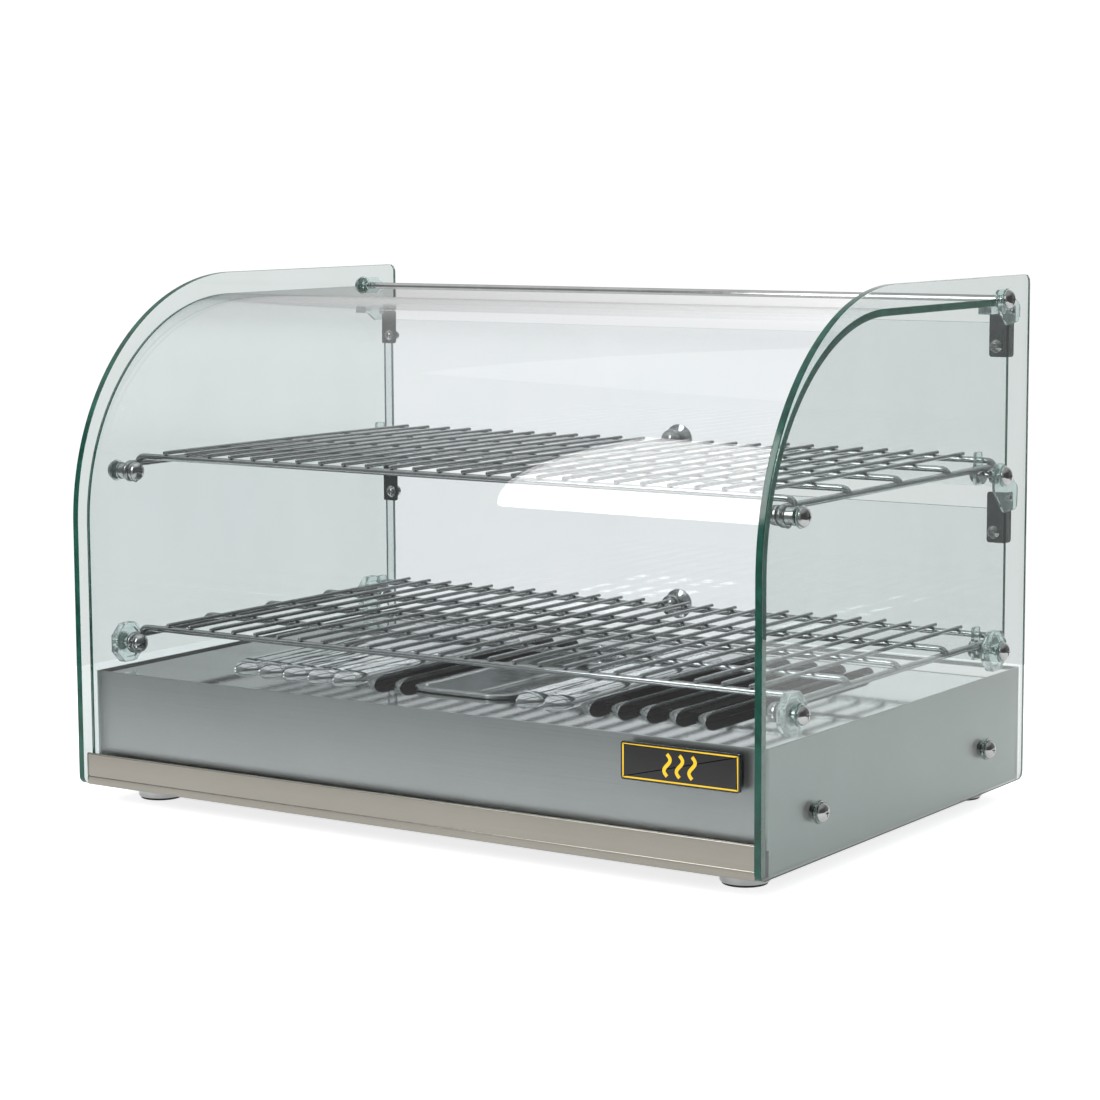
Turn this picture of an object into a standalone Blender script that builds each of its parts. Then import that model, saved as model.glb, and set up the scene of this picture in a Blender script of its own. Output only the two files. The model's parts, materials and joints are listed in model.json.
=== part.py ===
"""Countertop hot food display case, built piece by piece.

Metres, +Z up. The customer side (curved glass) faces -Y, the two flap doors face +Y.
Heights are above the table. Y is first measured from the middle of the side glasses,
and CASE_FRAME then centres the whole case, rear controls included, on the origin.
"""

import math

import bmesh
import bpy
from mathutils import Matrix, Vector

MM = 0.001
GAP = 0.3 * MM  # clearance left between neighbouring pieces

# Overall case
CASE_WIDTH = 554 * MM
CASE_DEPTH = 374 * MM
CASE_HEIGHT = 369 * MM
CONTROL_REACH = 12 * MM  # how far the rear controls stand out behind the side glasses
CASE_FRAME = Vector((0, -CONTROL_REACH / 2, 0))

# Glass
GLASS = 5 * MM
DOOR_GLASS = 4 * MM
SIDE_OUTER = CASE_WIDTH / 2
SIDE_INNER = SIDE_OUTER - GLASS
SIDE_FRONT = -CASE_DEPTH / 2
SIDE_REAR = CASE_DEPTH / 2
SIDE_ARC = 172 * MM
SIDE_CORNER = 6 * MM
FRONT_GLASS_FACE = -180 * MM
FRONT_GLASS_ARC = 157 * MM
FRONT_GLASS_TOP = 353.5 * MM
FRONT_GLASS_REAR = 139 * MM
FRONT_GLASS_HALF = SIDE_INNER - 1.5 * MM

# Base
SHEET = 1.5 * MM
DECK_SHEET = 1.2 * MM
BASE_HALF = 270.5 * MM
BASE_FRONT = -172 * MM
BASE_REAR = 186 * MM
BASE_BOTTOM = 13 * MM
BASE_TOP = 93 * MM
DECK_TOP = 91.5 * MM
DECK_FLANGE = 12 * MM

# Louvres of the deck: outer ones blow outwards, inner ones towards the water tray
LOUVRE_LENGTH = 224 * MM
LOUVRE_WIDTH = 14 * MM
LOUVRE_HEIGHT = 6 * MM
LOUVRE_PITCH = 22 * MM
OUTER_LOUVRES = [106 * MM + i * LOUVRE_PITCH for i in range(5)]
INNER_LOUVRES = [70 * MM - i * LOUVRE_PITCH for i in range(2)]

# Shelves and what carries them
FRONT_SUPPORT = -140 * MM
REAR_SUPPORT = 147 * MM
SHELF_HEIGHTS = {"lower": 109.5 * MM, "upper": 231.8 * MM}
SIDE_ROD_X = 262.3 * MM
ROD_RADIUS = 2.4 * MM
CROSS_ROD_RADIUS = 2.25 * MM
WIRE_RADIUS = 1.45 * MM
GROOVE_RADIUS = 2.35 * MM
HOOK_RADIUS = GROOVE_RADIUS + 0.35 * MM + ROD_RADIUS
CROSS_RODS = [-129.5 * MM + i * 70.5 * MM for i in range(5)]
CROSS_ROD_HALF = 264 * MM
WIRE_COUNT = 25
WIRE_PITCH = 19.85 * MM

# Rear flap doors, hung from pins at their top
PIN_Y = 166.6 * MM
DOOR_FRONT = 165 * MM
DOOR_REAR = DOOR_FRONT + DOOR_GLASS
DOOR_HALF = 266.5 * MM
PIN_RADIUS = 1.9 * MM
TIE_ROD_Y = 148 * MM
TIE_ROD_Z = 353 * MM
DOORS = {
    "upper": {"pin": 344 * MM, "top": 336 * MM, "bottom": 222 * MM, "knob": 244 * MM},
    "lower": {"pin": 214.5 * MM, "top": 206.5 * MM, "bottom": 96.5 * MM, "knob": 118.5 * MM},
}

# Controls on the rear of the base
CONTROL_Z = 50 * MM
THERMOSTAT_X = -120 * MM
LAMP_X = -80 * MM
SWITCH_X = -40 * MM
GLAND_X = 215 * MM
SWITCH_TILT = math.radians(6)

SCREW_HOLE = 3.0 * MM
SHANK = 2.6 * MM
SIDES = {"left": -1, "right": 1}
ROUND = 16  # sides of a turned piece

AXIS_TURNS = {
    "X": (0, math.pi / 2, 0),
    "-X": (0, -math.pi / 2, 0),
    "Y": (-math.pi / 2, 0, 0),
    "-Y": (math.pi / 2, 0, 0),
    "Z": (0, 0, 0),
}
PLANE_TURNS = {
    "XY": (0, 0, 0),
    "XZ": (math.pi / 2, 0, 0),
    "YZ": (math.pi / 2, 0, math.pi / 2),
}


# ---------------------------------------------------------------- scene and materials

def clear_scene():
    for obj in list(bpy.data.objects):
        bpy.data.objects.remove(obj, do_unlink=True)


def make_collection(name, hidden=False):
    collection = bpy.data.collections.new(name)
    bpy.context.scene.collection.children.link(collection)
    collection.hide_render = hidden
    return collection


def finish(name, colour, roughness, metallic=0.0):
    material = bpy.data.materials.new(name)
    material.use_nodes = True
    shader = material.node_tree.nodes["Principled BSDF"]
    shader.inputs["Base Color"].default_value = (*colour, 1)
    shader.inputs["Roughness"].default_value = roughness
    shader.inputs["Metallic"].default_value = metallic
    return material


clear_scene()
CASE = make_collection("hot_food_display_case")
CUTTERS = make_collection("cutters", hidden=True)

BRUSHED_STEEL = finish("brushed_steel", (0.48, 0.50, 0.50), 0.35, 1.0)
BRIGHT_STEEL = finish("bright_steel", (0.62, 0.64, 0.64), 0.12, 1.0)
WARM_STEEL = finish("warm_steel", (0.46, 0.43, 0.39), 0.3, 1.0)
CHROME = finish("chrome", (0.75, 0.76, 0.76), 0.08, 1.0)
CLEAR_GLASS = finish("clear_glass", (0.80, 0.92, 0.88), 0.02)
CLEAR_PLASTIC = finish("clear_plastic", (0.78, 0.90, 0.86), 0.15)
BLACK_PLASTIC = finish("black_plastic", (0.02, 0.02, 0.02), 0.4)
RED_PLASTIC = finish("red_plastic", (0.60, 0.03, 0.02), 0.25)
WHITE_PLASTIC = finish("white_plastic", (0.80, 0.78, 0.72), 0.5)
HEATER_SHEATH = finish("heater_sheath", (0.22, 0.21, 0.20), 0.45, 1.0)
BADGE_BLACK = finish("badge_black", (0.01, 0.01, 0.01), 0.2)


# ---------------------------------------------------------------- building tools

def make_empty(name, location, parent=None):
    empty = bpy.data.objects.new(name, None)
    CASE.objects.link(empty)
    empty.location = location
    empty.parent = parent
    return empty


FRAME = make_empty("case_frame", CASE_FRAME)


def hang(obj, pivot=None):
    """Parents a piece to the case frame or to a pivot empty, keeping its place in the case."""
    obj.parent = pivot or FRAME
    if pivot:
        obj.matrix_parent_inverse = Matrix.Translation(-pivot.location)


def add_piece(name, mesh, material=None, pivot=None, location=(0, 0, 0), turn=(0, 0, 0)):
    """A piece with a material, or a hidden cutter or joined shape without one."""
    obj = bpy.data.objects.new(name, mesh)
    (CASE if material else CUTTERS).objects.link(obj)
    obj.location = location
    obj.rotation_euler = turn
    hang(obj, pivot)
    if material:
        mesh.materials.append(material)
    else:
        obj.hide_render = True
        obj.display_type = "WIRE"
    return obj


def mesh_from(bm, name):
    bmesh.ops.recalc_face_normals(bm, faces=bm.faces)
    mesh = bpy.data.meshes.new(name)
    bm.to_mesh(mesh)
    bm.free()
    return mesh


def mesh_from_curve(curve, name):
    """The closed mesh of a curve, with its caps welded on."""
    holder = bpy.data.objects.new(name, curve)
    bpy.context.scene.collection.objects.link(holder)
    graph = bpy.context.evaluated_depsgraph_get()
    mesh = bpy.data.meshes.new_from_object(holder.evaluated_get(graph))
    bpy.data.objects.remove(holder, do_unlink=True)
    bm = bmesh.new()
    bm.from_mesh(mesh)
    bmesh.ops.remove_doubles(bm, verts=bm.verts, dist=1e-6)
    bmesh.ops.recalc_face_normals(bm, faces=bm.faces)
    bm.to_mesh(mesh)
    bm.free()
    mesh.materials.clear()
    return mesh


def box(name, low, high, material=None, pivot=None):
    low, high = Vector(low), Vector(high)
    bm = bmesh.new()
    bmesh.ops.create_cube(bm, size=1)
    bmesh.ops.scale(bm, vec=high - low, verts=bm.verts)
    return add_piece(name, mesh_from(bm, name), material, pivot, (low + high) / 2)


def cylinder(name, axis, centre, radius, length, material=None, sides=ROUND, pivot=None):
    """A cylinder whose middle is at centre."""
    bm = bmesh.new()
    bmesh.ops.create_cone(
        bm, cap_ends=True, segments=sides, radius1=radius, radius2=radius, depth=length
    )
    return add_piece(name, mesh_from(bm, name), material, pivot, centre, AXIS_TURNS[axis])


def turned(name, axis, centre, profile, material=None, pivot=None, closed=False):
    """A lathe piece. The profile is (distance along the axis, radius), far end first."""
    bm = bmesh.new()
    points = [bm.verts.new((radius, 0, along)) for along, radius in profile]
    for start, end in zip(points, points[1:]):
        bm.edges.new((start, end))
    if closed:
        bm.edges.new((points[-1], points[0]))
    mesh = bpy.data.meshes.new(name)
    bm.to_mesh(mesh)
    bm.free()
    obj = add_piece(name, mesh, material, pivot, centre, AXIS_TURNS[axis])
    screw = obj.modifiers.new("turn", "SCREW")
    screw.steps = ROUND
    screw.render_steps = ROUND
    screw.use_merge_vertices = True
    screw.merge_threshold = 1e-6
    return obj


def prism(name, plane, outline, low, high, material=None, pivot=None):
    """A flat outline given thickness from low to high along the plane's own normal."""
    curve = bpy.data.curves.new(name, "CURVE")
    curve.dimensions = "2D"
    curve.fill_mode = "BOTH"
    curve.extrude = (high - low) / 2
    spline = curve.splines.new("POLY")
    spline.points.add(len(outline) - 1)
    for point, (across, up) in zip(spline.points, outline):
        point.co = (across, up, 0, 1)
    spline.use_cyclic_u = True
    mesh = mesh_from_curve(curve, name)
    middle = (low + high) / 2
    place = {"XY": (0, 0, middle), "XZ": (0, middle, 0), "YZ": (middle, 0, 0)}[plane]
    return add_piece(name, mesh, material, pivot, place, PLANE_TURNS[plane])


def tube_mesh(name, routes, radius, resolution=2):
    """Round bar along each route, a list of points."""
    curve = bpy.data.curves.new(name, "CURVE")
    curve.dimensions = "3D"
    curve.bevel_depth = radius
    curve.bevel_resolution = resolution
    curve.use_fill_caps = True
    for route in routes:
        spline = curve.splines.new("POLY")
        spline.points.add(len(route) - 1)
        for point, place in zip(spline.points, route):
            point.co = (*place, 1)
    return mesh_from_curve(curve, name)


def combine(target, operation, tool):
    modifier = target.modifiers.new(tool.name, "BOOLEAN")
    modifier.operation = operation
    modifier.object = tool
    modifier.solver = "EXACT"


def cut(target, *tools):
    for tool in tools:
        combine(target, "DIFFERENCE", tool)


def join(target, *tools):
    for tool in tools:
        combine(target, "UNION", tool)


def arc(centre_a, centre_b, radius, start, end, steps):
    """Points of an arc in degrees, both ends included."""
    angles = [math.radians(start + (end - start) * i / steps) for i in range(steps + 1)]
    return [(centre_a + radius * math.cos(a), centre_b + radius * math.sin(a)) for a in angles]


def rounded_outline(corners, radius, steps=4):
    """The outline through the corners, each one filleted with the radius."""
    outline = []
    count = len(corners)
    for i in range(count):
        here = Vector(corners[i])
        back = (Vector(corners[i - 1]) - here).normalized()
        ahead = (Vector(corners[(i + 1) % count]) - here).normalized()
        half = back.angle(ahead) / 2
        centre = here + (back + ahead).normalized() * (radius / math.sin(half))
        start = here + back * (radius / math.tan(half)) - centre
        end = here + ahead * (radius / math.tan(half)) - centre
        for k in range(steps + 1):
            spoke = start.slerp(end, k / steps).normalized()
            outline.append(tuple(centre + spoke * radius))
    return outline


def rectangle(half_x, half_y, centre=(0, 0)):
    x, y = centre
    return [
        (x - half_x, y - half_y),
        (x + half_x, y - half_y),
        (x + half_x, y + half_y),
        (x - half_x, y + half_y),
    ]


# ---------------------------------------------------------------- base

def base_housing():
    """Brushed sheet wrapped round the base, open above and below, with the rear cut-outs."""
    wall = box(
        "base_housing",
        (-BASE_HALF, BASE_FRONT, BASE_BOTTOM),
        (BASE_HALF, BASE_REAR, BASE_TOP),
        BRUSHED_STEEL,
    )
    hollow = box(
        "housing_hollow",
        (SHEET - BASE_HALF, BASE_FRONT + SHEET, BASE_BOTTOM - SHEET),
        (BASE_HALF - SHEET, BASE_REAR - SHEET, BASE_TOP + SHEET),
    )
    cut(wall, hollow)
    rear_middle = BASE_REAR - SHEET / 2
    holes = {"thermostat": (THERMOSTAT_X, 4), "lamp": (LAMP_X, 5.4), "gland": (GLAND_X, 7.1)}
    for name, (x, radius) in holes.items():
        place = (x, rear_middle, CONTROL_Z)
        cut(wall, cylinder(f"{name}_hole", "Y", place, radius * MM, 6 * MM))
    cut(
        wall,
        box(
            "switch_hole",
            (SWITCH_X - 14.8 * MM, rear_middle - 3 * MM, CONTROL_Z - 6.8 * MM),
            (SWITCH_X + 14.8 * MM, rear_middle + 3 * MM, CONTROL_Z + 6.8 * MM),
        ),
    )
    for side, sign in SIDES.items():
        for end, y in BASE_SCREWS.items():
            place = (sign * (BASE_HALF - SHEET / 2), y, BASE_SCREW_Z)
            hole = cylinder(f"housing_hole_{side}_{end}", "X", place, SCREW_HOLE, 6 * MM, sides=12)
            cut(wall, hole)


def louvre_hood(bm, x_open, facing):
    """A raised hood over a slot: open on the facing side, closed and domed on the other."""
    rows, columns = 4, 4
    straight = LOUVRE_LENGTH / 2 - LOUVRE_WIDTH
    grid = []
    for row in range(-1, rows + 1):
        rise = math.radians(90 * max(row, 0) / rows)
        width = LOUVRE_WIDTH * math.cos(rise)
        z = DECK_TOP + LOUVRE_HEIGHT * math.sin(rise) if row >= 0 else DECK_TOP - DECK_SHEET / 2
        line = []
        for end in (-1, 1):
            for column in range(columns + 1):
                step = column if end < 0 else columns - column
                turn = math.radians(90 * step / columns)
                x = x_open - facing * width * math.sin(turn)
                y = end * (straight + width * math.cos(turn))
                line.append(bm.verts.new((x, y, z)))
        grid.append(line)
    for low, high in zip(grid, grid[1:]):
        for i in range(len(low) - 1):
            bm.faces.new((low[i], low[i + 1], high[i + 1], high[i]))


def louvre_slot(x_open, facing):
    """The outline of the hole under a hood."""
    width = LOUVRE_WIDTH - 1.8 * MM
    straight = LOUVRE_LENGTH / 2 - LOUVRE_WIDTH
    front = [(x_open - facing * x, -straight - y) for y, x in arc(0, 0, width, 0, 90, 4)]
    rear = [(x_open - facing * x, straight + y) for x, y in arc(0, 0, width, 0, 90, 4)]
    return front + rear


def louvres():
    """Every louvre as the x of its opening and the way it faces."""
    for sign in SIDES.values():
        for x in OUTER_LOUVRES:
            yield sign * x, sign
        for x in INNER_LOUVRES:
            yield sign * x, -sign


def base_deck():
    """Polished plate with folded edges, pressed louvres and the opening of the water tray."""
    inset = SHEET + GAP
    half = BASE_HALF - inset
    front, rear = BASE_FRONT + inset, BASE_REAR - inset
    deck = box(
        "base_deck", (-half, front, DECK_TOP - DECK_FLANGE), (half, rear, DECK_TOP), BRIGHT_STEEL
    )
    under = box(
        "deck_under",
        (DECK_SHEET - half, front + DECK_SHEET, DECK_TOP - 2 * DECK_FLANGE),
        (half - DECK_SHEET, rear - DECK_SHEET, DECK_TOP - DECK_SHEET),
    )
    cut(deck, under)
    bm = bmesh.new()
    for x_open, facing in louvres():
        louvre_hood(bm, x_open, facing)
    bmesh.ops.remove_doubles(bm, verts=bm.verts, dist=1e-6)
    bmesh.ops.dissolve_degenerate(bm, edges=bm.edges, dist=1e-7)
    hoods = add_piece("hoods", mesh_from(bm, "hoods"))
    wall = hoods.modifiers.new("wall", "SOLIDIFY")
    wall.thickness = 1 * MM
    wall.offset = -1
    join(deck, hoods)
    for i, (x_open, facing) in enumerate(louvres()):
        outline = louvre_slot(x_open, facing)
        cut(deck, prism(f"slot_{i}", "XY", outline, DECK_TOP - 3 * MM, DECK_TOP + 0.4 * MM))
    opening = rounded_outline(rectangle(36 * MM, 108 * MM), 14 * MM)
    cut(deck, prism("tray_opening", "XY", opening, DECK_TOP - 5 * MM, DECK_TOP + 5 * MM))


def bottom_plate():
    inset = SHEET + GAP
    plate = rounded_outline(
        rectangle(BASE_HALF - inset, (BASE_REAR - BASE_FRONT) / 2 - inset, (0, 7 * MM)), 4 * MM
    )
    prism("bottom_plate", "XY", plate, BASE_BOTTOM, BASE_BOTTOM + SHEET, BRUSHED_STEEL)


def front_channel():
    """Folded strip that the foot of the curved glass stands in."""
    back = BASE_FRONT - GAP
    front = -184 * MM
    sheet = DECK_SHEET
    bottom = BASE_BOTTOM + GAP
    outline = [
        (front, bottom),
        (back, bottom),
        (back, 30 * MM),
        (back - sheet, 30 * MM),
        (back - sheet, bottom + sheet),
        (front + sheet, bottom + sheet),
        (front + sheet, 35 * MM),
        (front, 35 * MM),
    ]
    prism("front_channel", "YZ", outline, -266 * MM, 266 * MM, WARM_STEEL)


def feet():
    for side, sign in SIDES.items():
        for end, y in {"front": -142 * MM, "rear": 161 * MM}.items():
            profile = [
                (BASE_BOTTOM - GAP, 0),
                (BASE_BOTTOM - GAP, 7 * MM),
                (8.5 * MM, 7 * MM),
                (8.5 * MM, 14.5 * MM),
                (7 * MM, 16 * MM),
                (1.5 * MM, 16 * MM),
                (0, 14.5 * MM),
                (0, 0),
            ]
            turned(f"foot_{end}_{side}", "Z", (sign * 240 * MM, y, 0), profile, BRIGHT_STEEL)


def water_tray():
    """Shallow pan that drops into the deck between the louvres."""
    rim_low = DECK_TOP + GAP
    rim_top = rim_low + 2.6 * MM
    floor = 78 * MM
    lift = make_empty("water_tray_lift", (0, 0, rim_low), FRAME)
    rim = rounded_outline(rectangle(42 * MM, 114 * MM), 18 * MM)
    tray = prism("water_tray", "XY", rim, rim_low, rim_top, BRIGHT_STEEL, lift)
    well = rounded_outline(rectangle(34.5 * MM, 106.5 * MM), 13 * MM)
    join(tray, prism("tray_well", "XY", well, floor, rim_low + 1 * MM))
    hollow = rounded_outline(rectangle(33.3 * MM, 105.3 * MM), 12 * MM)
    cut(tray, prism("tray_hollow", "XY", hollow, floor + DECK_SHEET, rim_top + 3 * MM))


def badge():
    """Blank domed name plate on the outside of the curved glass."""
    half_width, half_height = 42.7 * MM, 12 * MM
    plate = rounded_outline(rectangle(half_width, half_height, (216.8 * MM, 77.8 * MM)), 1.5 * MM)
    face = FRONT_GLASS_FACE - GAP
    prism("badge", "XZ", plate, face - 2.2 * MM, face, BADGE_BLACK)


# ---------------------------------------------------------------- glass

def front_glass():
    """One bent pane: upright at the foot, a quarter turn, and level to the rear brackets."""
    centre_y = FRONT_GLASS_FACE + FRONT_GLASS_ARC
    centre_z = FRONT_GLASS_TOP - FRONT_GLASS_ARC
    foot = BASE_BOTTOM + 1.8 * MM
    outer = [(FRONT_GLASS_FACE, foot)]
    outer += arc(centre_y, centre_z, FRONT_GLASS_ARC, 180, 90, 24)
    outer.append((FRONT_GLASS_REAR, FRONT_GLASS_TOP))
    inner = [(FRONT_GLASS_REAR, FRONT_GLASS_TOP - GLASS)]
    inner += arc(centre_y, centre_z, FRONT_GLASS_ARC - GLASS, 90, 180, 24)
    inner.append((FRONT_GLASS_FACE + GLASS, foot))
    prism(
        "front_glass", "YZ", outer + inner, -FRONT_GLASS_HALF, FRONT_GLASS_HALF, CLEAR_GLASS
    )


def side_holes():
    """(name, y, z) of every hole through a side glass."""
    for end, y in BASE_SCREWS.items():
        yield f"base_{end}", y, BASE_SCREW_Z
    for shelf, z in SHELF_HEIGHTS.items():
        yield f"{shelf}_front", FRONT_SUPPORT, z
        yield f"{shelf}_rear", REAR_SUPPORT, z
    yield "tie", TIE_ROD_Y, TIE_ROD_Z


def side_glasses():
    centre_y = SIDE_FRONT + SIDE_ARC
    centre_z = CASE_HEIGHT - SIDE_ARC
    small = SIDE_CORNER
    outline = arc(SIDE_FRONT + small, BASE_BOTTOM + small, small, 270, 180, 4)
    outline += arc(centre_y, centre_z, SIDE_ARC, 180, 90, 28)
    outline += arc(SIDE_REAR - small, CASE_HEIGHT - small, small, 90, 0, 4)
    outline += arc(SIDE_REAR - small, BASE_BOTTOM + small, small, 0, -90, 4)
    for side, sign in SIDES.items():
        low, high = sorted((sign * SIDE_INNER, sign * SIDE_OUTER))
        pane = prism(f"side_glass_{side}", "YZ", outline, low, high, CLEAR_GLASS)
        for name, y, z in side_holes():
            place = (sign * (SIDE_INNER + SIDE_OUTER) / 2, y, z)
            cut(pane, cylinder(f"{side}_{name}_hole", "X", place, SCREW_HOLE, 3 * GLASS, sides=12))


# ---------------------------------------------------------------- screws and supports

BASE_SCREWS = {"front": -114 * MM, "rear": 126 * MM}
BASE_SCREW_Z = 44 * MM
HEAD_PROFILE = [
    (282.6 * MM, 0),
    (282.2 * MM, 3.2 * MM),
    (280.6 * MM, 5.7 * MM),
    (279 * MM, 6.6 * MM),
    (SIDE_OUTER + GAP, 6.6 * MM),
    (SIDE_OUTER + GAP, SHANK),
]


def outward(sign):
    return "X" if sign > 0 else "-X"


def base_screws():
    """Pan screw, shank and nut that clamp a side glass to the housing."""
    nut_outer = BASE_HALF - SHEET - GAP
    profile = HEAD_PROFILE + [
        (nut_outer, SHANK),
        (nut_outer, 5.5 * MM),
        (nut_outer - 4 * MM, 5.5 * MM),
        (nut_outer - 4 * MM, 0),
    ]
    for side, sign in SIDES.items():
        for end, y in BASE_SCREWS.items():
            place = (0, y, BASE_SCREW_Z)
            turned(f"base_screw_{end}_{side}", outward(sign), place, profile, CHROME)


def support_profile(neck_start, clip):
    """Screw head, shank, nut, groove for the shelf hook, and inner head."""
    groove_outer, groove_inner = 265.1 * MM, 259.3 * MM
    profile = HEAD_PROFILE + [(neck_start, SHANK)]
    if neck_start > groove_outer + 1 * MM:
        profile += [(neck_start, 6 * MM), (groove_outer, 6 * MM), (groove_outer, GROOVE_RADIUS)]
    profile += [(groove_inner, GROOVE_RADIUS), (groove_inner, 6 * MM)]
    head = groove_inner - 2 * MM
    if clip:
        profile += [(head, 6 * MM), (head, SHANK), (head - 3.1 * MM, SHANK)]
        head -= 3.1 * MM
    profile += [
        (head, 6 * MM),
        (head - 2 * MM, 5.7 * MM),
        (head - 4 * MM, 3.5 * MM),
        (head - 4.8 * MM, 0),
    ]
    return profile


def shelf_supports():
    for shelf, z in SHELF_HEIGHTS.items():
        for side, sign in SIDES.items():
            for end, y in {"front": FRONT_SUPPORT, "rear": REAR_SUPPORT}.items():
                if shelf == "lower":
                    neck = 265.1 * MM  # the clear collar fills the space to the glass
                elif end == "rear":
                    neck = 268.4 * MM  # the pivot bracket lies against the glass
                else:
                    neck = SIDE_INNER - GAP
                name = f"{shelf}_support_{end}_{side}"
                profile = support_profile(neck, end == "rear")
                turned(name, outward(sign), (0, y, z), profile, CHROME)


def clear_collars():
    """Eight-sided clear spacers behind the lower supports."""
    corner = 15 * MM
    outline = arc(0, 0, corner, 22.5, 22.5 + 315, 7)
    for side, sign in SIDES.items():
        for end, y in {"front": FRONT_SUPPORT, "rear": REAR_SUPPORT}.items():
            z = SHELF_HEIGHTS["lower"]
            placed = [(y + a, z + b) for a, b in outline]
            low, high = sorted((sign * 265.4 * MM, sign * (SIDE_INNER - GAP)))
            collar = prism(f"clear_collar_{end}_{side}", "YZ", placed, low, high, CLEAR_PLASTIC)
            middle = (sign * 268 * MM, y, z)
            hole = cylinder(f"collar_hole_{end}_{side}", "X", middle, SCREW_HOLE, 20 * MM, sides=12)
            cut(collar, hole)


def shelf_clips():
    """Clear plates on the rear supports, each with a tab that stops the rear rod of a shelf."""
    tab_rear = CROSS_RODS[-1] - CROSS_ROD_RADIUS - 0.8 * MM
    for shelf, z in SHELF_HEIGHTS.items():
        for side, sign in SIDES.items():
            low, high = sorted((sign * 254.5 * MM, sign * 257.0 * MM))
            corners = [
                (139.5 * MM, z - 7 * MM),
                (154 * MM, z - 7 * MM),
                (154 * MM, z + 6 * MM),
                (tab_rear, z + 6 * MM),
                (tab_rear, z + 16 * MM),
                (139.5 * MM, z + 16 * MM),
            ]
            plate = rounded_outline(corners, 2 * MM)
            clip = prism(f"{shelf}_clip_{side}", "YZ", plate, low, high, CLEAR_PLASTIC)
            hole = (sign * 255.7 * MM, REAR_SUPPORT, z)
            cut(clip, cylinder(f"{shelf}_clip_hole_{side}", "X", hole, SCREW_HOLE, 8 * MM, sides=12))


def tie_rod():
    """Bar between the upper pivot brackets, and the screws that hold it through the glass."""
    rod_end = 268.4 * MM
    centre = (0, TIE_ROD_Y, TIE_ROD_Z)
    cylinder("tie_rod", "X", centre, 3 * MM, 2 * rod_end, CHROME)
    profile = HEAD_PROFILE + [(rod_end + GAP, SHANK), (rod_end + GAP, 0)]
    for side, sign in SIDES.items():
        turned(f"tie_rod_screw_{side}", outward(sign), centre, profile, CHROME)


def pivot_brackets():
    """Clear plates that carry the door pins. The upper ones also hold up the curved glass."""
    outer = SIDE_INNER - GAP
    inner = outer - 3 * MM
    outlines = {
        "upper": [(141, 359.5), (159, 359.5), (178, 348), (177, 337), (158, 334.5), (141, 349)],
        "lower": [(140.5, 240), (154, 240), (178, 222), (177, 206), (157, 205), (140.5, 222)],
    }
    screws = {
        "upper": (TIE_ROD_Y, TIE_ROD_Z),
        "lower": (REAR_SUPPORT, SHELF_HEIGHTS["upper"]),
    }
    for level, corners in outlines.items():
        outline = rounded_outline([(y * MM, z * MM) for y, z in corners], 4 * MM)
        pin_z = DOORS[level]["pin"]
        for side, sign in SIDES.items():
            low, high = sorted((sign * inner, sign * outer))
            name = f"{level}_pivot_bracket_{side}"
            plate = prism(name, "YZ", outline, low, high, CLEAR_PLASTIC)
            middle = sign * (inner + outer) / 2
            pin = cylinder(f"{name}_pin", "X", (middle, PIN_Y, pin_z), 2.3 * MM, 12 * MM, sides=16)
            screw_y, screw_z = screws[level]
            place = (middle, screw_y, screw_z)
            screw = cylinder(f"{name}_screw", "X", place, SCREW_HOLE, 12 * MM, sides=16)
            if level == "upper":
                ledge_low = (sign * 260 * MM, 133 * MM, 343 * MM)
                ledge_high = (sign * (inner + 1 * MM), 156 * MM, FRONT_GLASS_TOP - GLASS - GAP)
                ends = list(zip(ledge_low, ledge_high))
                ledge = box(f"{name}_ledge", [min(e) for e in ends], [max(e) for e in ends])
                join(plate, ledge)
            cut(plate, pin, screw)


# ---------------------------------------------------------------- doors

def hinge_bracket(level, side, sign, pivot):
    """Folded steel angle on a door's corner, with its pin and its screw and nut."""
    pin_z = DOORS[level]["pin"]
    leaf = DOOR_FRONT - GAP
    sheet = DECK_SHEET
    edge = DOOR_HALF + 0.4 * MM
    corners = [
        (254 * MM, leaf - sheet),
        (edge + sheet, leaf - sheet),
        (edge + sheet, 173.5 * MM),
        (edge, 173.5 * MM),
        (edge, leaf),
        (254 * MM, leaf),
    ]
    outline = [(sign * x, y) for x, y in corners]
    name = f"{level}_hinge_bracket_{side}"
    low, high = pin_z - 31.7 * MM, pin_z + 4 * MM
    bracket = prism(name, "XY", outline, low, high, BRIGHT_STEEL, pivot)
    pin_middle = (sign * (edge + 2.4 * MM), PIN_Y, pin_z)
    pin = cylinder(f"{name}_pin", "X", pin_middle, PIN_RADIUS, 3.9 * MM, sides=16)
    screw_place = (sign * 259.4 * MM, 0, pin_z - 24.3 * MM)
    profile = [
        (172 * MM, 0),
        (172 * MM, 4.5 * MM),
        (DOOR_REAR + GAP, 4.5 * MM),
        (DOOR_REAR + GAP, 2 * MM),
        (leaf - sheet / 2, 2 * MM),
        (leaf - sheet / 2, 5 * MM),
        (leaf - sheet - 1.2 * MM, 5 * MM),
        (leaf - sheet - 2.8 * MM, 3 * MM),
        (leaf - sheet - 3.2 * MM, 0),
    ]
    screw = turned(f"{name}_screw", "Y", screw_place, profile)
    join(bracket, pin, screw)
    return screw_place


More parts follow.
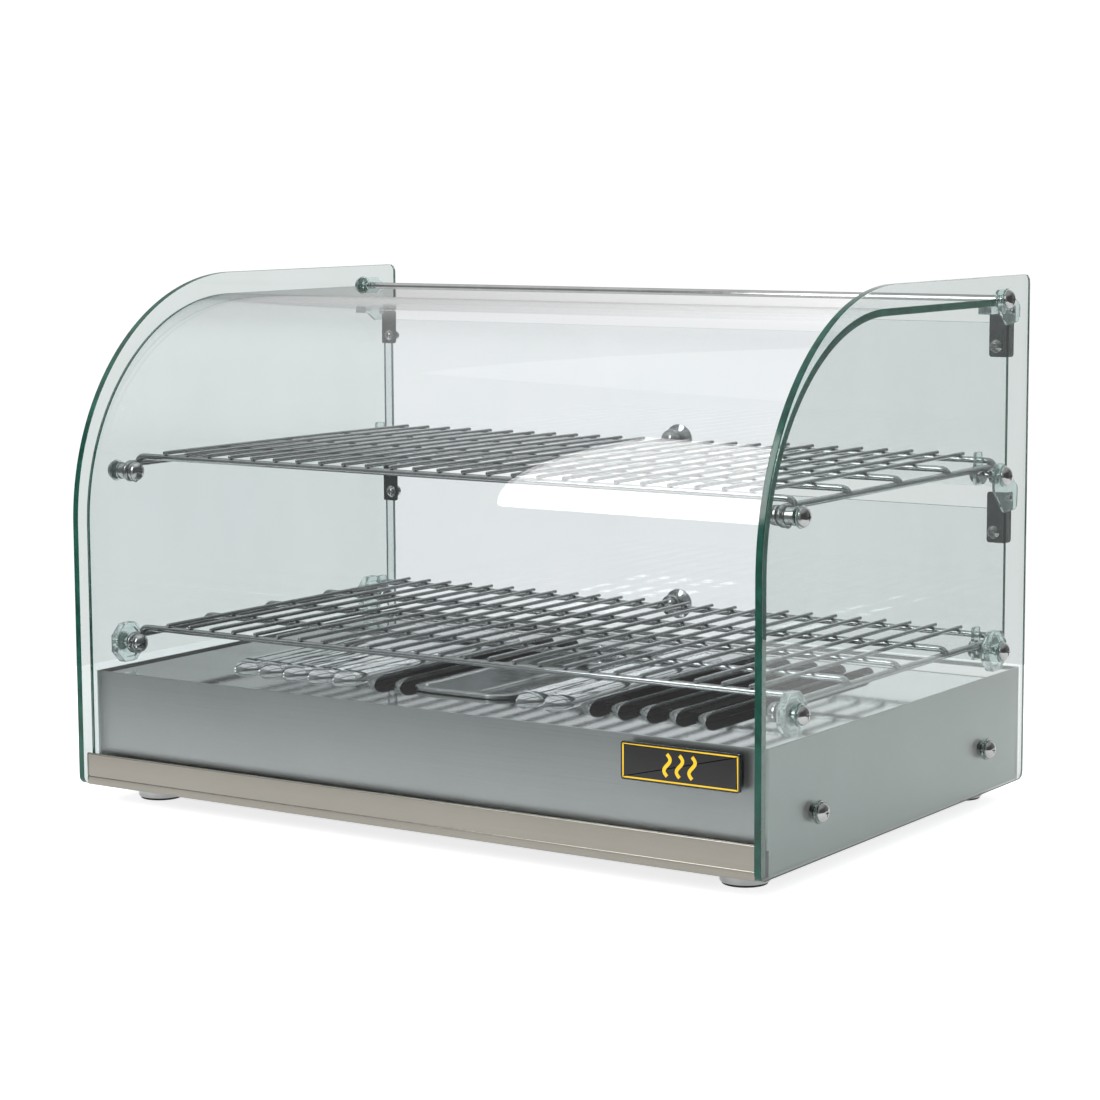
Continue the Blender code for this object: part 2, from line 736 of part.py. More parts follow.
def door_knob(level, pivot):
    """Mushroom knob outside and cap inside, joined by the stud through the glass."""
    profile = [
        (186.4 * MM, 0),
        (185.6 * MM, 5.5 * MM),
        (183 * MM, 10 * MM),
        (179.5 * MM, 11.5 * MM),
        (176.2 * MM, 10 * MM),
        (173.5 * MM, 5 * MM),
        (DOOR_REAR + GAP, 5 * MM),
        (DOOR_REAR + GAP, 2.5 * MM),
        (DOOR_FRONT - GAP, 2.5 * MM),
        (DOOR_FRONT - GAP, 7.8 * MM),
        (163 * MM, 7.8 * MM),
        (161.2 * MM, 5.5 * MM),
        (160.5 * MM, 0),
    ]
    place = (0, 0, DOORS[level]["knob"])
    turned(f"{level}_door_knob", "Y", place, profile, CHROME, pivot)


def doors():
    for level, door in DOORS.items():
        pivot = make_empty(f"{level}_door_hinge", (0, PIN_Y, door["pin"]), FRAME)
        middle = (door["top"] + door["bottom"]) / 2
        half_height = (door["top"] - door["bottom"]) / 2
        outline = rounded_outline(rectangle(DOOR_HALF, half_height, (0, middle)), 3 * MM)
        pane = prism(f"{level}_door", "XZ", outline, DOOR_FRONT, DOOR_REAR, CLEAR_GLASS, pivot)
        for side, sign in SIDES.items():
            x, _, z = hinge_bracket(level, side, sign, pivot)
            place = (x, (DOOR_FRONT + DOOR_REAR) / 2, z)
            cut(pane, cylinder(f"{level}_door_hole_{side}", "Y", place, 2.4 * MM, 20 * MM, sides=12))
        place = (0, (DOOR_FRONT + DOOR_REAR) / 2, door["knob"])
        cut(pane, cylinder(f"{level}_door_hole_knob", "Y", place, 2.9 * MM, 20 * MM, sides=12))
        door_knob(level, pivot)


# ---------------------------------------------------------------- shelves

def hooked_side_rod(x, z):
    """Side rod of a shelf: level from the rear, wrapped round the front support, short tail."""
    hook = arc(FRONT_SUPPORT, z, HOOK_RADIUS, 90, 270, 10)
    route = [(x, 157 * MM, z + HOOK_RADIUS)]
    route += [(x, y, height) for y, height in hook]
    route.append((x, FRONT_SUPPORT + 6 * MM, z - HOOK_RADIUS - 1.6 * MM))
    return route


def straight_bars(bm, ends, radius, sides):
    """Adds one straight bar for each (start, end) pair."""
    for start, end in ends:
        start, end = Vector(start), Vector(end)
        turn = (end - start).to_track_quat("Z", "X").to_matrix().to_4x4()
        bmesh.ops.create_cone(
            bm,
            cap_ends=True,
            segments=sides,
            radius1=radius,
            radius2=radius,
            depth=(end - start).length,
            matrix=Matrix.Translation((start + end) / 2) @ turn,
        )


def shelves():
    """Two side rods, five cross rods and the wires, welded into one grid."""
    for shelf, z in SHELF_HEIGHTS.items():
        pivot = make_empty(f"{shelf}_shelf_tilt", (0, FRONT_SUPPORT, z), FRAME)
        rods = [hooked_side_rod(sign * SIDE_ROD_X, z) for sign in SIDES.values()]
        mesh = tube_mesh(f"{shelf}_shelf", rods, ROD_RADIUS)
        grid = add_piece(f"{shelf}_shelf", mesh, CHROME, pivot)
        cross_z = z + HOOK_RADIUS + ROD_RADIUS + CROSS_ROD_RADIUS - 0.25 * MM
        half = CROSS_ROD_HALF
        bars = bmesh.new()
        ends = [((-half, y, cross_z), (half, y, cross_z)) for y in CROSS_RODS]
        straight_bars(bars, ends, CROSS_ROD_RADIUS, 8)
        join(grid, add_piece(f"{shelf}_cross_rods", mesh_from(bars, "cross_rods")))
        wire_z = cross_z + CROSS_ROD_RADIUS + WIRE_RADIUS - 0.3 * MM
        first = -(WIRE_COUNT - 1) / 2 * WIRE_PITCH
        wires = bmesh.new()
        places = [first + i * WIRE_PITCH for i in range(WIRE_COUNT)]
        front, rear = CROSS_RODS[0] - 2.1 * MM, CROSS_RODS[-1] + 5.5 * MM
        straight_bars(wires, [((x, front, wire_z), (x, rear, wire_z)) for x in places], WIRE_RADIUS, 6)
        join(grid, add_piece(f"{shelf}_wires", mesh_from(wires, "wires")))


# ---------------------------------------------------------------- heating and controls

ELEMENT_LEGS = (95 * MM, 185 * MM)
ELEMENT_Z = 60 * MM


def heating_elements():
    """A sheathed hairpin element under each bank of louvres."""
    inner, outer = ELEMENT_LEGS
    radius = (outer - inner) / 2
    for side, sign in SIDES.items():
        bend = arc((inner + outer) / 2, -70 * MM, radius, 180, 360, 16)
        route = [(inner, 140 * MM)] + bend + [(outer, 140 * MM)]
        points = [(sign * x, y, ELEMENT_Z) for x, y in route]
        mesh = tube_mesh(f"heating_element_{side}", [points], 4 * MM)
        add_piece(f"heating_element_{side}", mesh, HEATER_SHEATH)


def element_bracket():
    """Upright strip across the base that the element legs pass through."""
    low = (-205 * MM, 20 * MM, BASE_BOTTOM + SHEET + GAP)
    high = (205 * MM, 21.5 * MM, 70 * MM)
    bracket = box("element_bracket", low, high, BRUSHED_STEEL)
    for side, sign in SIDES.items():
        for leg in ELEMENT_LEGS:
            place = (sign * leg, 20.7 * MM, ELEMENT_Z)
            name = f"element_hole_{side}_{round(leg / MM)}"
            cut(bracket, cylinder(name, "Y", place, 4.5 * MM, 10 * MM, sides=16))


def thermostat():
    body = box(
        "thermostat_body",
        (THERMOSTAT_X - 20 * MM, 152 * MM, CONTROL_Z - 17 * MM),
        (THERMOSTAT_X + 20 * MM, BASE_REAR - SHEET - GAP, CONTROL_Z + 17 * MM),
        WHITE_PLASTIC,
    )
    middle = (THERMOSTAT_X, 185 * MM, CONTROL_Z)
    join(body, cylinder("thermostat_shaft", "Y", middle, 3 * MM, 12 * MM, sides=16))
    turn = make_empty("thermostat_turn", (THERMOSTAT_X, BASE_REAR, CONTROL_Z), FRAME)
    face = BASE_REAR + 0.4 * MM
    end = SIDE_REAR + CONTROL_REACH
    profile = [
        (end, 0),
        (end, 10 * MM),
        (end - 1.5 * MM, 11.5 * MM),
        (face + 2 * MM, 12.5 * MM),
        (face, 14 * MM),
        (face, 3.4 * MM),
        (191.5 * MM, 3.4 * MM),
        (191.5 * MM, 0),
    ]
    place = (THERMOSTAT_X, 0, CONTROL_Z)
    knob = turned("thermostat_knob", "Y", place, profile, BLACK_PLASTIC, turn)
    ridge = box(
        "thermostat_ridge",
        (THERMOSTAT_X - 1.5 * MM, end - 8 * MM, CONTROL_Z + 5 * MM),
        (THERMOSTAT_X + 1.5 * MM, end - 0.3 * MM, CONTROL_Z + 13.2 * MM),
    )
    join(knob, ridge)


def power_switch():
    """Bezel and body with a pocket, and the rocker that pivots in it."""
    face = BASE_REAR + GAP
    body = box(
        "switch_body",
        (SWITCH_X - 17 * MM, face, CONTROL_Z - 9 * MM),
        (SWITCH_X + 17 * MM, face + 2 * MM, CONTROL_Z + 9 * MM),
        BLACK_PLASTIC,
    )
    barrel = box(
        "switch_barrel",
        (SWITCH_X - 14.4 * MM, 164 * MM, CONTROL_Z - 6.4 * MM),
        (SWITCH_X + 14.4 * MM, face + 1 * MM, CONTROL_Z + 6.4 * MM),
    )
    pocket = box(
        "switch_pocket",
        (SWITCH_X - 12.6 * MM, 175 * MM, CONTROL_Z - 4.8 * MM),
        (SWITCH_X + 12.6 * MM, face + 6 * MM, CONTROL_Z + 4.8 * MM),
    )
    join(body, barrel)
    cut(body, pocket)
    pivot_y = 182 * MM
    pivot = make_empty("power_switch_rock", (SWITCH_X, pivot_y, CONTROL_Z), FRAME)
    outline = [(-11, -2), (-3, -5), (3, -5), (11, -2), (11, 7.6), (0, 6.2), (-11, 7.6)]
    tilt = Matrix.Rotation(-SWITCH_TILT, 2)
    turned_outline = [tilt @ Vector((x * MM, y * MM)) for x, y in outline]
    placed = [(SWITCH_X + x, pivot_y + y) for x, y in turned_outline]
    low, high = CONTROL_Z - 4.4 * MM, CONTROL_Z + 4.4 * MM
    prism("switch_rocker", "XY", placed, low, high, RED_PLASTIC, pivot)


def indicator_lamp():
    face = BASE_REAR + GAP
    profile = [
        (face + 4.5 * MM, 0),
        (face + 4 * MM, 2.5 * MM),
        (face + 2.5 * MM, 4.6 * MM),
        (face + 1.2 * MM, 5.2 * MM),
        (face + 1.2 * MM, 6.8 * MM),
        (face, 6.8 * MM),
        (face, 5 * MM),
        (166 * MM, 5 * MM),
        (166 * MM, 0),
    ]
    turned("indicator_lamp", "Y", (LAMP_X, 0, CONTROL_Z), profile, RED_PLASTIC)


def cord_gland():
    """Empty gland for the supply lead: outer nut, threaded barrel and inner nut."""
    face = BASE_REAR + GAP
    inner_face = BASE_REAR - SHEET - GAP
    profile = [
        (face + 9 * MM, 3.6 * MM),
        (face + 9 * MM, 7 * MM),
        (face + 6 * MM, 9 * MM),
        (face, 9.5 * MM),
        (face, 6.7 * MM),
        (inner_face, 6.7 * MM),
        (inner_face, 9.5 * MM),
        (inner_face - 5 * MM, 9.5 * MM),
        (inner_face - 5 * MM, 6.7 * MM),
        (inner_face - 9 * MM, 6.7 * MM),
        (inner_face - 9 * MM, 3.6 * MM),
    ]
    turned("cord_gland", "Y", (GLAND_X, 0, CONTROL_Z), profile, BLACK_PLASTIC, closed=True)


def terminal_block():
    low_z = BASE_BOTTOM + SHEET + GAP
    block = box(
        "terminal_block",
        (195 * MM, 120 * MM, low_z),
        (237 * MM, 138 * MM, low_z + 16 * MM),
        WHITE_PLASTIC,
    )
    for i, x in enumerate((208 * MM, 222 * MM)):
        low = (x, 119 * MM, low_z + 7 * MM)
        high = (x + 2 * MM, 139 * MM, low_z + 20 * MM)
        cut(block, box(f"block_groove_{i}", low, high))


def build_case():
    base_housing()
    base_deck()
    bottom_plate()
    front_channel()
    feet()
    water_tray()
    badge()
    front_glass()
    side_glasses()
    base_screws()
    shelf_supports()
    clear_collars()
    shelf_clips()
    tie_rod()
    pivot_brackets()
    doors()
    shelves()
    heating_elements()
    element_bracket()
    thermostat()
    power_switch()
    indicator_lamp()
    cord_gland()
    terminal_block()


build_case()
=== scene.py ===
# %% [markdown]
# # A hot food display case
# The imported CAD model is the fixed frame: it says where every piece is and how it moves. This
# lesson builds the surfaces that are seen, one kind of piece at a time, and hangs each on the
# body that carries it. Lengths are in millimetres until a helper turns them into metres.

# %% Load the frame
import json
import math

import bmesh
import bpy
from mathutils import Matrix, Vector

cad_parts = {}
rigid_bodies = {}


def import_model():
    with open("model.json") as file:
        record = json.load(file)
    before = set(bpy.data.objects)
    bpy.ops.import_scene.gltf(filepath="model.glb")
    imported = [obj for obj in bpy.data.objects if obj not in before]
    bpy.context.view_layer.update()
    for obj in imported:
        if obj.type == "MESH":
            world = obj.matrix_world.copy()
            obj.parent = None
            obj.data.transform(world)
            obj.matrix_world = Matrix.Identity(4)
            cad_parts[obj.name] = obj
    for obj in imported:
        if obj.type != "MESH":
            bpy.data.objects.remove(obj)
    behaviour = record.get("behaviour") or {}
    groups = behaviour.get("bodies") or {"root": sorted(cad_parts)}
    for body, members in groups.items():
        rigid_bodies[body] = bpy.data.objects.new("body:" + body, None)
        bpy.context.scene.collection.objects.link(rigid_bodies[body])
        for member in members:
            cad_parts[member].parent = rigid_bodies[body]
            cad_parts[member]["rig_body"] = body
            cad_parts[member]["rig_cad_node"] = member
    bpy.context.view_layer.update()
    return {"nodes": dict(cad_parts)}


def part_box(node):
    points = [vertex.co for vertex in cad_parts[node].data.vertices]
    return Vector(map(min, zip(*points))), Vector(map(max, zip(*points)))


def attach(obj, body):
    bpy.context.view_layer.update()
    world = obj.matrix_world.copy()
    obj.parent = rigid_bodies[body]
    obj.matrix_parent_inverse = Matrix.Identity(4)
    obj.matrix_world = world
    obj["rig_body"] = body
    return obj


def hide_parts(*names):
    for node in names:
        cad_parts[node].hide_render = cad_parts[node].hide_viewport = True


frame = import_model()

# %% [markdown]
# ## Measures
# The case stands on the floor with its side glasses centred a little in front of the origin,
# because the rear knob stands out behind them. `at` takes a place measured from the middle of the
# side glasses and gives it in metres in the frame.

# %% Measures of the case
MM = 0.001
SIDES = {"left": -1, "right": 1}
pane_low, pane_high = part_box("side_glass_right")
MIDDLE_Y = (pane_low.y + pane_high.y) / 2
SIDE_INNER = pane_low.x / MM
SIDE_OUTER = pane_high.x / MM
SHELF_Z = {"lower": 109.5, "upper": 231.8}
FRONT_SUPPORT = -140
REAR_SUPPORT = 147
PIN_Y = 166.6
PIN_Z = {"upper": 344, "lower": 214.5}
DECK_TOP = 91.5


def at(x, y, z):
    return Vector((x * MM, y * MM + MIDDLE_Y, z * MM))


print("middle of the side glasses, y:", round(MIDDLE_Y / MM, 2), "mm")

# %% [markdown]
# ## Working by hand, in code
# Blender's operators act on whatever is selected, so each helper first deselects everything and
# selects only its own piece. `pick` chooses corners, edges or faces of the piece in edit mode by
# where they are and which way they point, as a hand with a mouse would.

# %% Selecting and editing


def only(obj):
    bpy.ops.object.select_all(action="DESELECT")
    bpy.context.view_layer.objects.active = obj
    obj.select_set(True)


def edit(obj):
    only(obj)
    bpy.ops.object.mode_set(mode="EDIT")
    bpy.ops.mesh.select_mode(type="FACE")
    bpy.ops.mesh.select_all(action="DESELECT")


def done():
    bpy.ops.object.mode_set(mode="OBJECT")


def pick(kind, test):
    """Selects each VERT, EDGE or FACE whose (middle in case mm, direction) passes the test."""
    bpy.ops.mesh.select_mode(type=kind)
    bpy.ops.mesh.select_all(action="DESELECT")
    mesh = bpy.context.edit_object.data
    shape = bmesh.from_edit_mesh(mesh)
    count = 0
    for item in {"VERT": shape.verts, "EDGE": shape.edges, "FACE": shape.faces}[kind]:
        if kind == "VERT":
            middle, direction = item.co, item.normal
        elif kind == "EDGE":
            start, end = (corner.co for corner in item.verts)
            middle, direction = (start + end) / 2, (end - start).normalized()
        else:
            middle, direction = item.calc_center_median(), item.normal
        here = Vector((middle.x, middle.y - MIDDLE_Y, middle.z)) / MM
        if test(here, direction):
            item.select_set(True)
            count += 1
    bmesh.update_edit_mesh(mesh)
    return count


def bevel_picked(width, segments=4, affect="EDGES"):
    bpy.ops.mesh.bevel(offset=width * MM, segments=segments, profile=0.5, affect=affect)


def extrude_picked(x=0, y=0, z=0):
    bpy.ops.mesh.extrude_region_move(TRANSFORM_OT_translate={"value": (x * MM, y * MM, z * MM)})


# %% [markdown]
# ## Starting shapes and finishing modifiers
# A block or a rod is only a start. The finishing helpers are the ones used most in metal and glass
# work: round every sharp edge, give a sheet its thickness, cut a hole, and join pieces into one.

# %% Shapes to start from


def take(name):
    obj = bpy.context.object
    obj.name = name
    bpy.ops.object.transform_apply(location=True, rotation=True, scale=True)
    return obj


def block(name, low, high):
    bpy.ops.object.select_all(action="DESELECT")
    low, high = at(*low), at(*high)
    bpy.ops.mesh.primitive_cube_add(size=1, location=(low + high) / 2, scale=high - low)
    return take(name)


TURNS = {"X": (0, math.pi / 2, 0), "Y": (-math.pi / 2, 0, 0), "Z": (0, 0, 0)}


def rod(name, axis, middle, radius, length, sides=32):
    bpy.ops.object.select_all(action="DESELECT")
    bpy.ops.mesh.primitive_cylinder_add(
        vertices=sides,
        radius=radius * MM,
        depth=length * MM,
        location=at(*middle),
        rotation=TURNS[axis],
    )
    return take(name)


def sheet_strip(name, low, high):
    """A flat sheet between two corners of the same height, drawn as a plane."""
    bpy.ops.object.select_all(action="DESELECT")
    low, high = at(*low), at(*high)
    size = high - low
    bpy.ops.mesh.primitive_plane_add(size=1, location=(low + high) / 2)
    bpy.context.object.scale = (size.x, size.y, 1)
    return take(name)


# %% Finishing


def finish_with(obj, kind, **settings):
    only(obj)
    modifier = obj.modifiers.new(kind.lower(), kind)
    for key, value in settings.items():
        setattr(modifier, key, value)
    bpy.ops.object.modifier_apply(modifier=modifier.name)
    return obj


def round_edges(obj, width, segments=2, angle=32):
    return finish_with(
        obj,
        "BEVEL",
        width=width * MM,
        segments=segments,
        limit_method="ANGLE",
        angle_limit=math.radians(angle),
        miter_outer="MITER_ARC",
    )


def give_wall(obj, thickness, offset=0.0):
    return finish_with(
        obj, "SOLIDIFY", thickness=thickness * MM, offset=offset, use_even_offset=True
    )


def merge(name, *pieces):
    bpy.ops.object.select_all(action="DESELECT")
    for piece in pieces:
        piece.select_set(True)
    bpy.context.view_layer.objects.active = pieces[0]
    if len(pieces) > 1:
        bpy.ops.object.join()
    pieces[0].name = name
    return pieces[0]


def cut(obj, *cutters):
    cutter = merge("cutter", *cutters)
    finish_with(obj, "BOOLEAN", operation="DIFFERENCE", solver="EXACT", object=cutter)
    bpy.data.objects.remove(cutter, do_unlink=True)
    return obj


def smooth(obj, angle=32):
    """Smooth shading, with normals weighted so that wide flat faces stay flat beside bevels."""
    only(obj)
    bpy.ops.object.shade_smooth_by_angle(angle=math.radians(angle))
    return finish_with(obj, "WEIGHTED_NORMAL", keep_sharp=True, weight=90)


def shifted_copy(obj, name, x=0, y=0, z=0):
    twin = obj.copy()
    twin.data = obj.data.copy()
    twin.name = name
    bpy.context.scene.collection.objects.link(twin)
    twin.data.transform(Matrix.Translation((x * MM, y * MM, z * MM)))
    return twin


def mirrored_copy(obj, name):
    """A copy on the other side of the middle of the case, with its faces turned outwards again."""
    twin = shifted_copy(obj, name)
    only(twin)
    bpy.ops.mesh.customdata_custom_splitnormals_clear()
    twin.data.transform(Matrix.Diagonal((-1, 1, 1, 1)))
    twin.data.flip_normals()
    return twin


# %% [markdown]
# ## Turned pieces and bent bars
# Screws, knobs and feet are made on a lathe. The same is done here: a tiny plane is merged into one
# corner, which is drawn out into half of the cut-through shape, and Spin carries that once round. A
# bent bar follows a line, so a curve with a round bevel gives it its thickness, and the curve is
# then made a mesh.

# %% Lathe and bender


def one_corner(place):
    """Leaves edit mode open on a single selected corner at place, in metres."""
    bpy.ops.object.select_all(action="DESELECT")
    bpy.ops.mesh.primitive_plane_add(size=MM)
    bpy.ops.object.mode_set(mode="EDIT")
    bpy.ops.mesh.select_mode(type="VERT")
    bpy.ops.mesh.merge(type="CENTER")
    bpy.ops.transform.translate(value=place)
    return bpy.context.object


def turned(name, axis, middle, profile, steps=40):
    """profile is (distance along the axis, radius) in mm. It starts and ends on the axis."""
    here = Vector((profile[0][1], 0, profile[0][0])) * MM
    obj = one_corner(here)
    for along, radius in profile[1:]:
        there = Vector((radius, 0, along)) * MM
        bpy.ops.mesh.extrude_region_move(TRANSFORM_OT_translate={"value": there - here})
        here = there
    bpy.ops.mesh.select_all(action="SELECT")
    bpy.ops.mesh.spin(steps=steps, angle=math.tau, center=(0, 0, 0), axis=(0, 0, 1))
    bpy.ops.mesh.select_all(action="SELECT")
    bpy.ops.mesh.remove_doubles(threshold=1e-6)
    bpy.ops.mesh.normals_make_consistent(inside=False)
    done()
    obj.rotation_euler = TURNS[axis]
    obj.location = at(*middle)
    return take(name)


def bent_bar(name, points, radius, roundness=5):
    curve = bpy.data.curves.new(name, "CURVE")
    curve.dimensions = "3D"
    curve.bevel_depth = radius * MM
    curve.bevel_resolution = roundness
    curve.use_fill_caps = True
    line = curve.splines.new("POLY")
    line.points.add(len(points) - 1)
    for corner, place in zip(line.points, points):
        corner.co = (*at(*place), 1)
    obj = bpy.data.objects.new(name, curve)
    bpy.context.scene.collection.objects.link(obj)
    only(obj)
    bpy.ops.object.convert(target="MESH")
    obj = bpy.context.object
    edit(obj)
    bpy.ops.mesh.select_all(action="SELECT")
    bpy.ops.mesh.remove_doubles(threshold=1e-6)
    bpy.ops.mesh.normals_make_consistent(inside=False)
    done()
    return obj


def arc(across, up, radius, start, end, steps):
    """Points of an arc, in degrees, both ends included."""
    angles = [math.radians(start + (end - start) * i / steps) for i in range(steps + 1)]
    return [(across + radius * math.cos(a), up + radius * math.sin(a)) for a in angles]


# %% [markdown]
# ## Adding nodes
# Every material is a small tree of nodes. One function turns the usual sRGB colour codes into the
# linear numbers that the shader wants, and one adds a node with its settings and its links.

# %% Colours and nodes


def linear(code):
    channels = [int(code[i : i + 2], 16) / 255 for i in (1, 3, 5)]
    return tuple(c / 12.92 if c <= 0.04045 else ((c + 0.055) / 1.055) ** 2.4 for c in channels) + (1.0,)


def add_node(tree, kind, settings=None, links=None):
    """settings names a property, or a socket by name or number. links gives a socket its source."""
    made = tree.nodes.new("ShaderNode" + kind)
    for key, value in (settings or {}).items():
        if isinstance(key, str) and hasattr(made, key):
            setattr(made, key, value)
        else:
            made.inputs[key].default_value = value
    for key, source in (links or {}).items():
        tree.links.new(source, made.inputs[key])
    return made


def new_material(name):
    material = bpy.data.materials.new(name)
    material.use_nodes = True
    tree = material.node_tree
    return material, tree, tree.nodes["Principled BSDF"]


def grain(tree, size_mm, detail=3.0, roughness=0.6):
    """Noise on Object coordinates whose features are size_mm long in x, y and z."""
    place = add_node(tree, "TexCoord").outputs["Object"]
    scale = [1 / (size * MM) for size in size_mm]
    lay = add_node(tree, "Mapping", {"Scale": scale}, {"Vector": place}).outputs["Vector"]
    settings = {"Scale": 1.0, "Detail": detail, "Roughness": roughness}
    return add_node(tree, "TexNoise", settings, {"Vector": lay}).outputs["Fac"]


def blend_colours(tree, factor, low, high):
    settings = {"data_type": "RGBA", 6: linear(low), 7: linear(high)}
    return add_node(tree, "Mix", settings, {0: factor}).outputs[2]


def spread(tree, value, low, high, start=0.3, end=0.7):
    """Noise mostly lies between start and end. This stretches it to low and high."""
    settings = {1: start, 2: end, 3: low, 4: high}
    return add_node(tree, "MapRange", settings, {0: value}).outputs[0]


def bump(tree, shader, height, depth_mm, strength=0.5):
    settings = {"Distance": depth_mm * MM, "Strength": strength}
    normal = add_node(tree, "Bump", settings, {"Height": height}).outputs["Normal"]
    tree.links.new(normal, shader.inputs["Normal"])


# %% [markdown]
# ## Metals
# Almost all the metal is stainless steel, grade 304, in three finishes. Satin sheet is rubbed with
# a belt, so it has fine lines along its length, which spread a highlight sideways. Bright rolled
# sheet is nearly a mirror. The strip at the foot of the glass is satin too, but warmer. The real
# brushing is about 0.1 mm fine, so it is drawn six or seven times coarser to show at all. Screws,
# wires and knobs are plated bright and keep only a faint unevenness.

# %% Steel finishes


def steel(name, low, high, grain_mm, rough, depth_mm, cloud_mm=70, detail=5.0):
    material, tree, shader = new_material(name)
    lines = grain(tree, grain_mm, detail=detail)
    cloud = grain(tree, (cloud_mm, cloud_mm, cloud_mm), detail=2.0)
    both = add_node(tree, "Mix", {"data_type": "FLOAT", 0: 0.4}, {2: lines, 3: cloud}).outputs[0]
    colour = blend_colours(tree, spread(tree, both, 0, 1, 0.2, 0.8), low, high)
    tree.links.new(colour, shader.inputs["Base Color"])
    tree.links.new(spread(tree, both, *rough, 0.2, 0.8), shader.inputs["Roughness"])
    shader.inputs["Metallic"].default_value = 1.0
    bump(tree, shader, lines, depth_mm)
    return material


satin_steel = steel(
    "satin_304_sheet", "#989C9B", "#A6AAA9", (260, 260, 0.7), (0.26, 0.34), 0.0002, detail=2.0
)
bright_deck_steel = steel(
    "bright_rolled_304_deck", "#BFC3C3", "#CDD0D0", (120, 1.2, 1.2), (0.04, 0.08), 0.0005
)
pressed_steel = steel(
    "deep_drawn_304_tray", "#BFC3C3", "#D2D5D5", (3, 30, 3), (0.12, 0.22), 0.004
)
warm_satin_steel = steel(
    "satin_430_strip", "#99958D", "#A7A39A", (220, 60, 0.6), (0.22, 0.28), 0.0002, detail=2.0
)
# The bottom plate and the element strip get a dark colour that is painted shade: it darkens the inside of
# the base seen through the louvre slots.
interior_painted_shade_steel = steel("heat_darkened_430_plate", "#57595A", "#6A6C6C", (14, 14, 14), (0.35, 0.5), 0.01)
plated = steel("bright_nickel_plate", "#AEB0AF", "#C9CACA", (9, 9, 9), (0.06, 0.13), 0.002, 25)
wire_plated = steel("chromed_steel_wire", "#9A9D9D", "#B3B6B6", (6, 6, 6), (0.06, 0.12), 0.001, 30)
polished_leaf = steel(
    "polished_304_hinge_leaf", "#5B5E5E", "#717474", (1.2, 1.2, 14), (0.06, 0.12), 0.002, 30
)
heater_sheath = steel(
    "oxidised_alloy_heater_sheath", "#3F3A36", "#66605A", (5, 9, 5), (0.4, 0.6), 0.02, 22
)
print("metal finishes:", len([m for m in bpy.data.materials if m.node_tree]))

# %% [markdown]
# ## Glass
# The panes are 5 mm soda-lime float glass. Iron in it tints it faintly green: hardly seen through
# the face, strongly along the edge, where light travels the length of the pane. So the faces get
# clear glass and the ground and polished rims get a deep green one. Lamps must shine through a
# pane, but Blender's glass blocks them, so shadow rays meet a nearly clear shader instead. Faint
# wiping marks change the roughness a little.

# %% Float glass and clear plastic


def see_through(name, tint, rough, tint_high=None, ior=1.52, weight=1.0, lamp="#F2F8F6", smear_mm=90):
    material, tree, shader = new_material(name)
    smear = grain(tree, (smear_mm, smear_mm, smear_mm * 1.8), detail=3.0)
    factor = spread(tree, smear, 0, 1)
    colour = blend_colours(tree, factor, tint, tint_high or tint)
    tree.links.new(colour, shader.inputs["Base Color"])
    tree.links.new(spread(tree, smear, *rough), shader.inputs["Roughness"])
    shader.inputs["IOR"].default_value = ior
    shader.inputs["Transmission Weight"].default_value = weight
    clear = add_node(tree, "BsdfTransparent", {"Color": linear(lamp)}).outputs[0]
    shadow = add_node(tree, "LightPath").outputs["Is Shadow Ray"]
    mixed = add_node(tree, "MixShader", None, {0: shadow, 1: shader.outputs[0], 2: clear})
    tree.links.new(mixed.outputs[0], tree.nodes["Material Output"].inputs["Surface"])
    return material


pane_glass = see_through("float_glass_face", "#F9FBFC", (0.0, 0.012), "#F6F9FA")
side_glass_face = see_through("float_glass_side_face", "#E9F0EF", (0.0, 0.012), "#E5EDEB")
rim_glass = see_through(
    "float_glass_polished_rim", "#0B4A3D", (0.08, 0.2), "#1F7562", weight=0.5, lamp="#8FC7B7", smear_mm=8
)
clear_moulding = see_through(
    "clear_polycarbonate_moulding", "#E4F3F0", (0.04, 0.16), "#F3FAF9", ior=1.5, weight=0.94, smear_mm=9
)

# %% [markdown]
# ## Plastics, enamel and lens
# Knob, switch and gland are ABS or nylon from a mould with a fine spark-eroded grain, drawn here
# at 0.4 mm. The lamp lens and rocker are tinted polycarbonate, and the badge is a printed aluminium
# plate under a clear domed resin, so it is glossy.

# %% Plastic finishes


def moulded(name, low, high, rough, grain_mm=0.4, depth_mm=0.02, coat=0.0):
    material, tree, shader = new_material(name)
    fine = grain(tree, (grain_mm, grain_mm, grain_mm), detail=2.0)
    cloud = grain(tree, (12, 12, 12), detail=2.0)
    colour = blend_colours(tree, spread(tree, cloud, 0, 1), low, high)
    tree.links.new(colour, shader.inputs["Base Color"])
    tree.links.new(spread(tree, cloud, *rough), shader.inputs["Roughness"])
    shader.inputs["IOR"].default_value = 1.5
    shader.inputs["Coat Weight"].default_value = coat
    bump(tree, shader, fine, depth_mm)
    return material


black_abs = moulded("black_abs", "#121314", "#1D1E1F", (0.38, 0.5))
black_nylon = moulded("black_nylon", "#17181A", "#232426", (0.45, 0.6), 0.6)
white_melamine = moulded("white_melamine_insulator", "#D8D4C8", "#E6E2D8", (0.4, 0.55), 1.0)
badge_black = moulded("black_print_under_resin", "#08090A", "#111213", (0.14, 0.22), 3.0, 0.004, 0.6)
badge_yellow = moulded("yellow_print_under_resin", "#F2C300", "#FFD21A", (0.18, 0.28), 3.0, 0.004, 0.6)
red_lens = see_through(
    "red_polycarbonate_lens", "#C21812", (0.05, 0.15), "#E02A1E", ior=1.58, weight=0.5, lamp="#E86A60"
)
red_rocker = moulded("red_abs_rocker", "#A3140F", "#BC1D15", (0.22, 0.34), 0.8, 0.01)
white_mark = moulded("white_pad_print", "#DADCDC", "#ECEEEE", (0.4, 0.5), 1.0, 0.005)
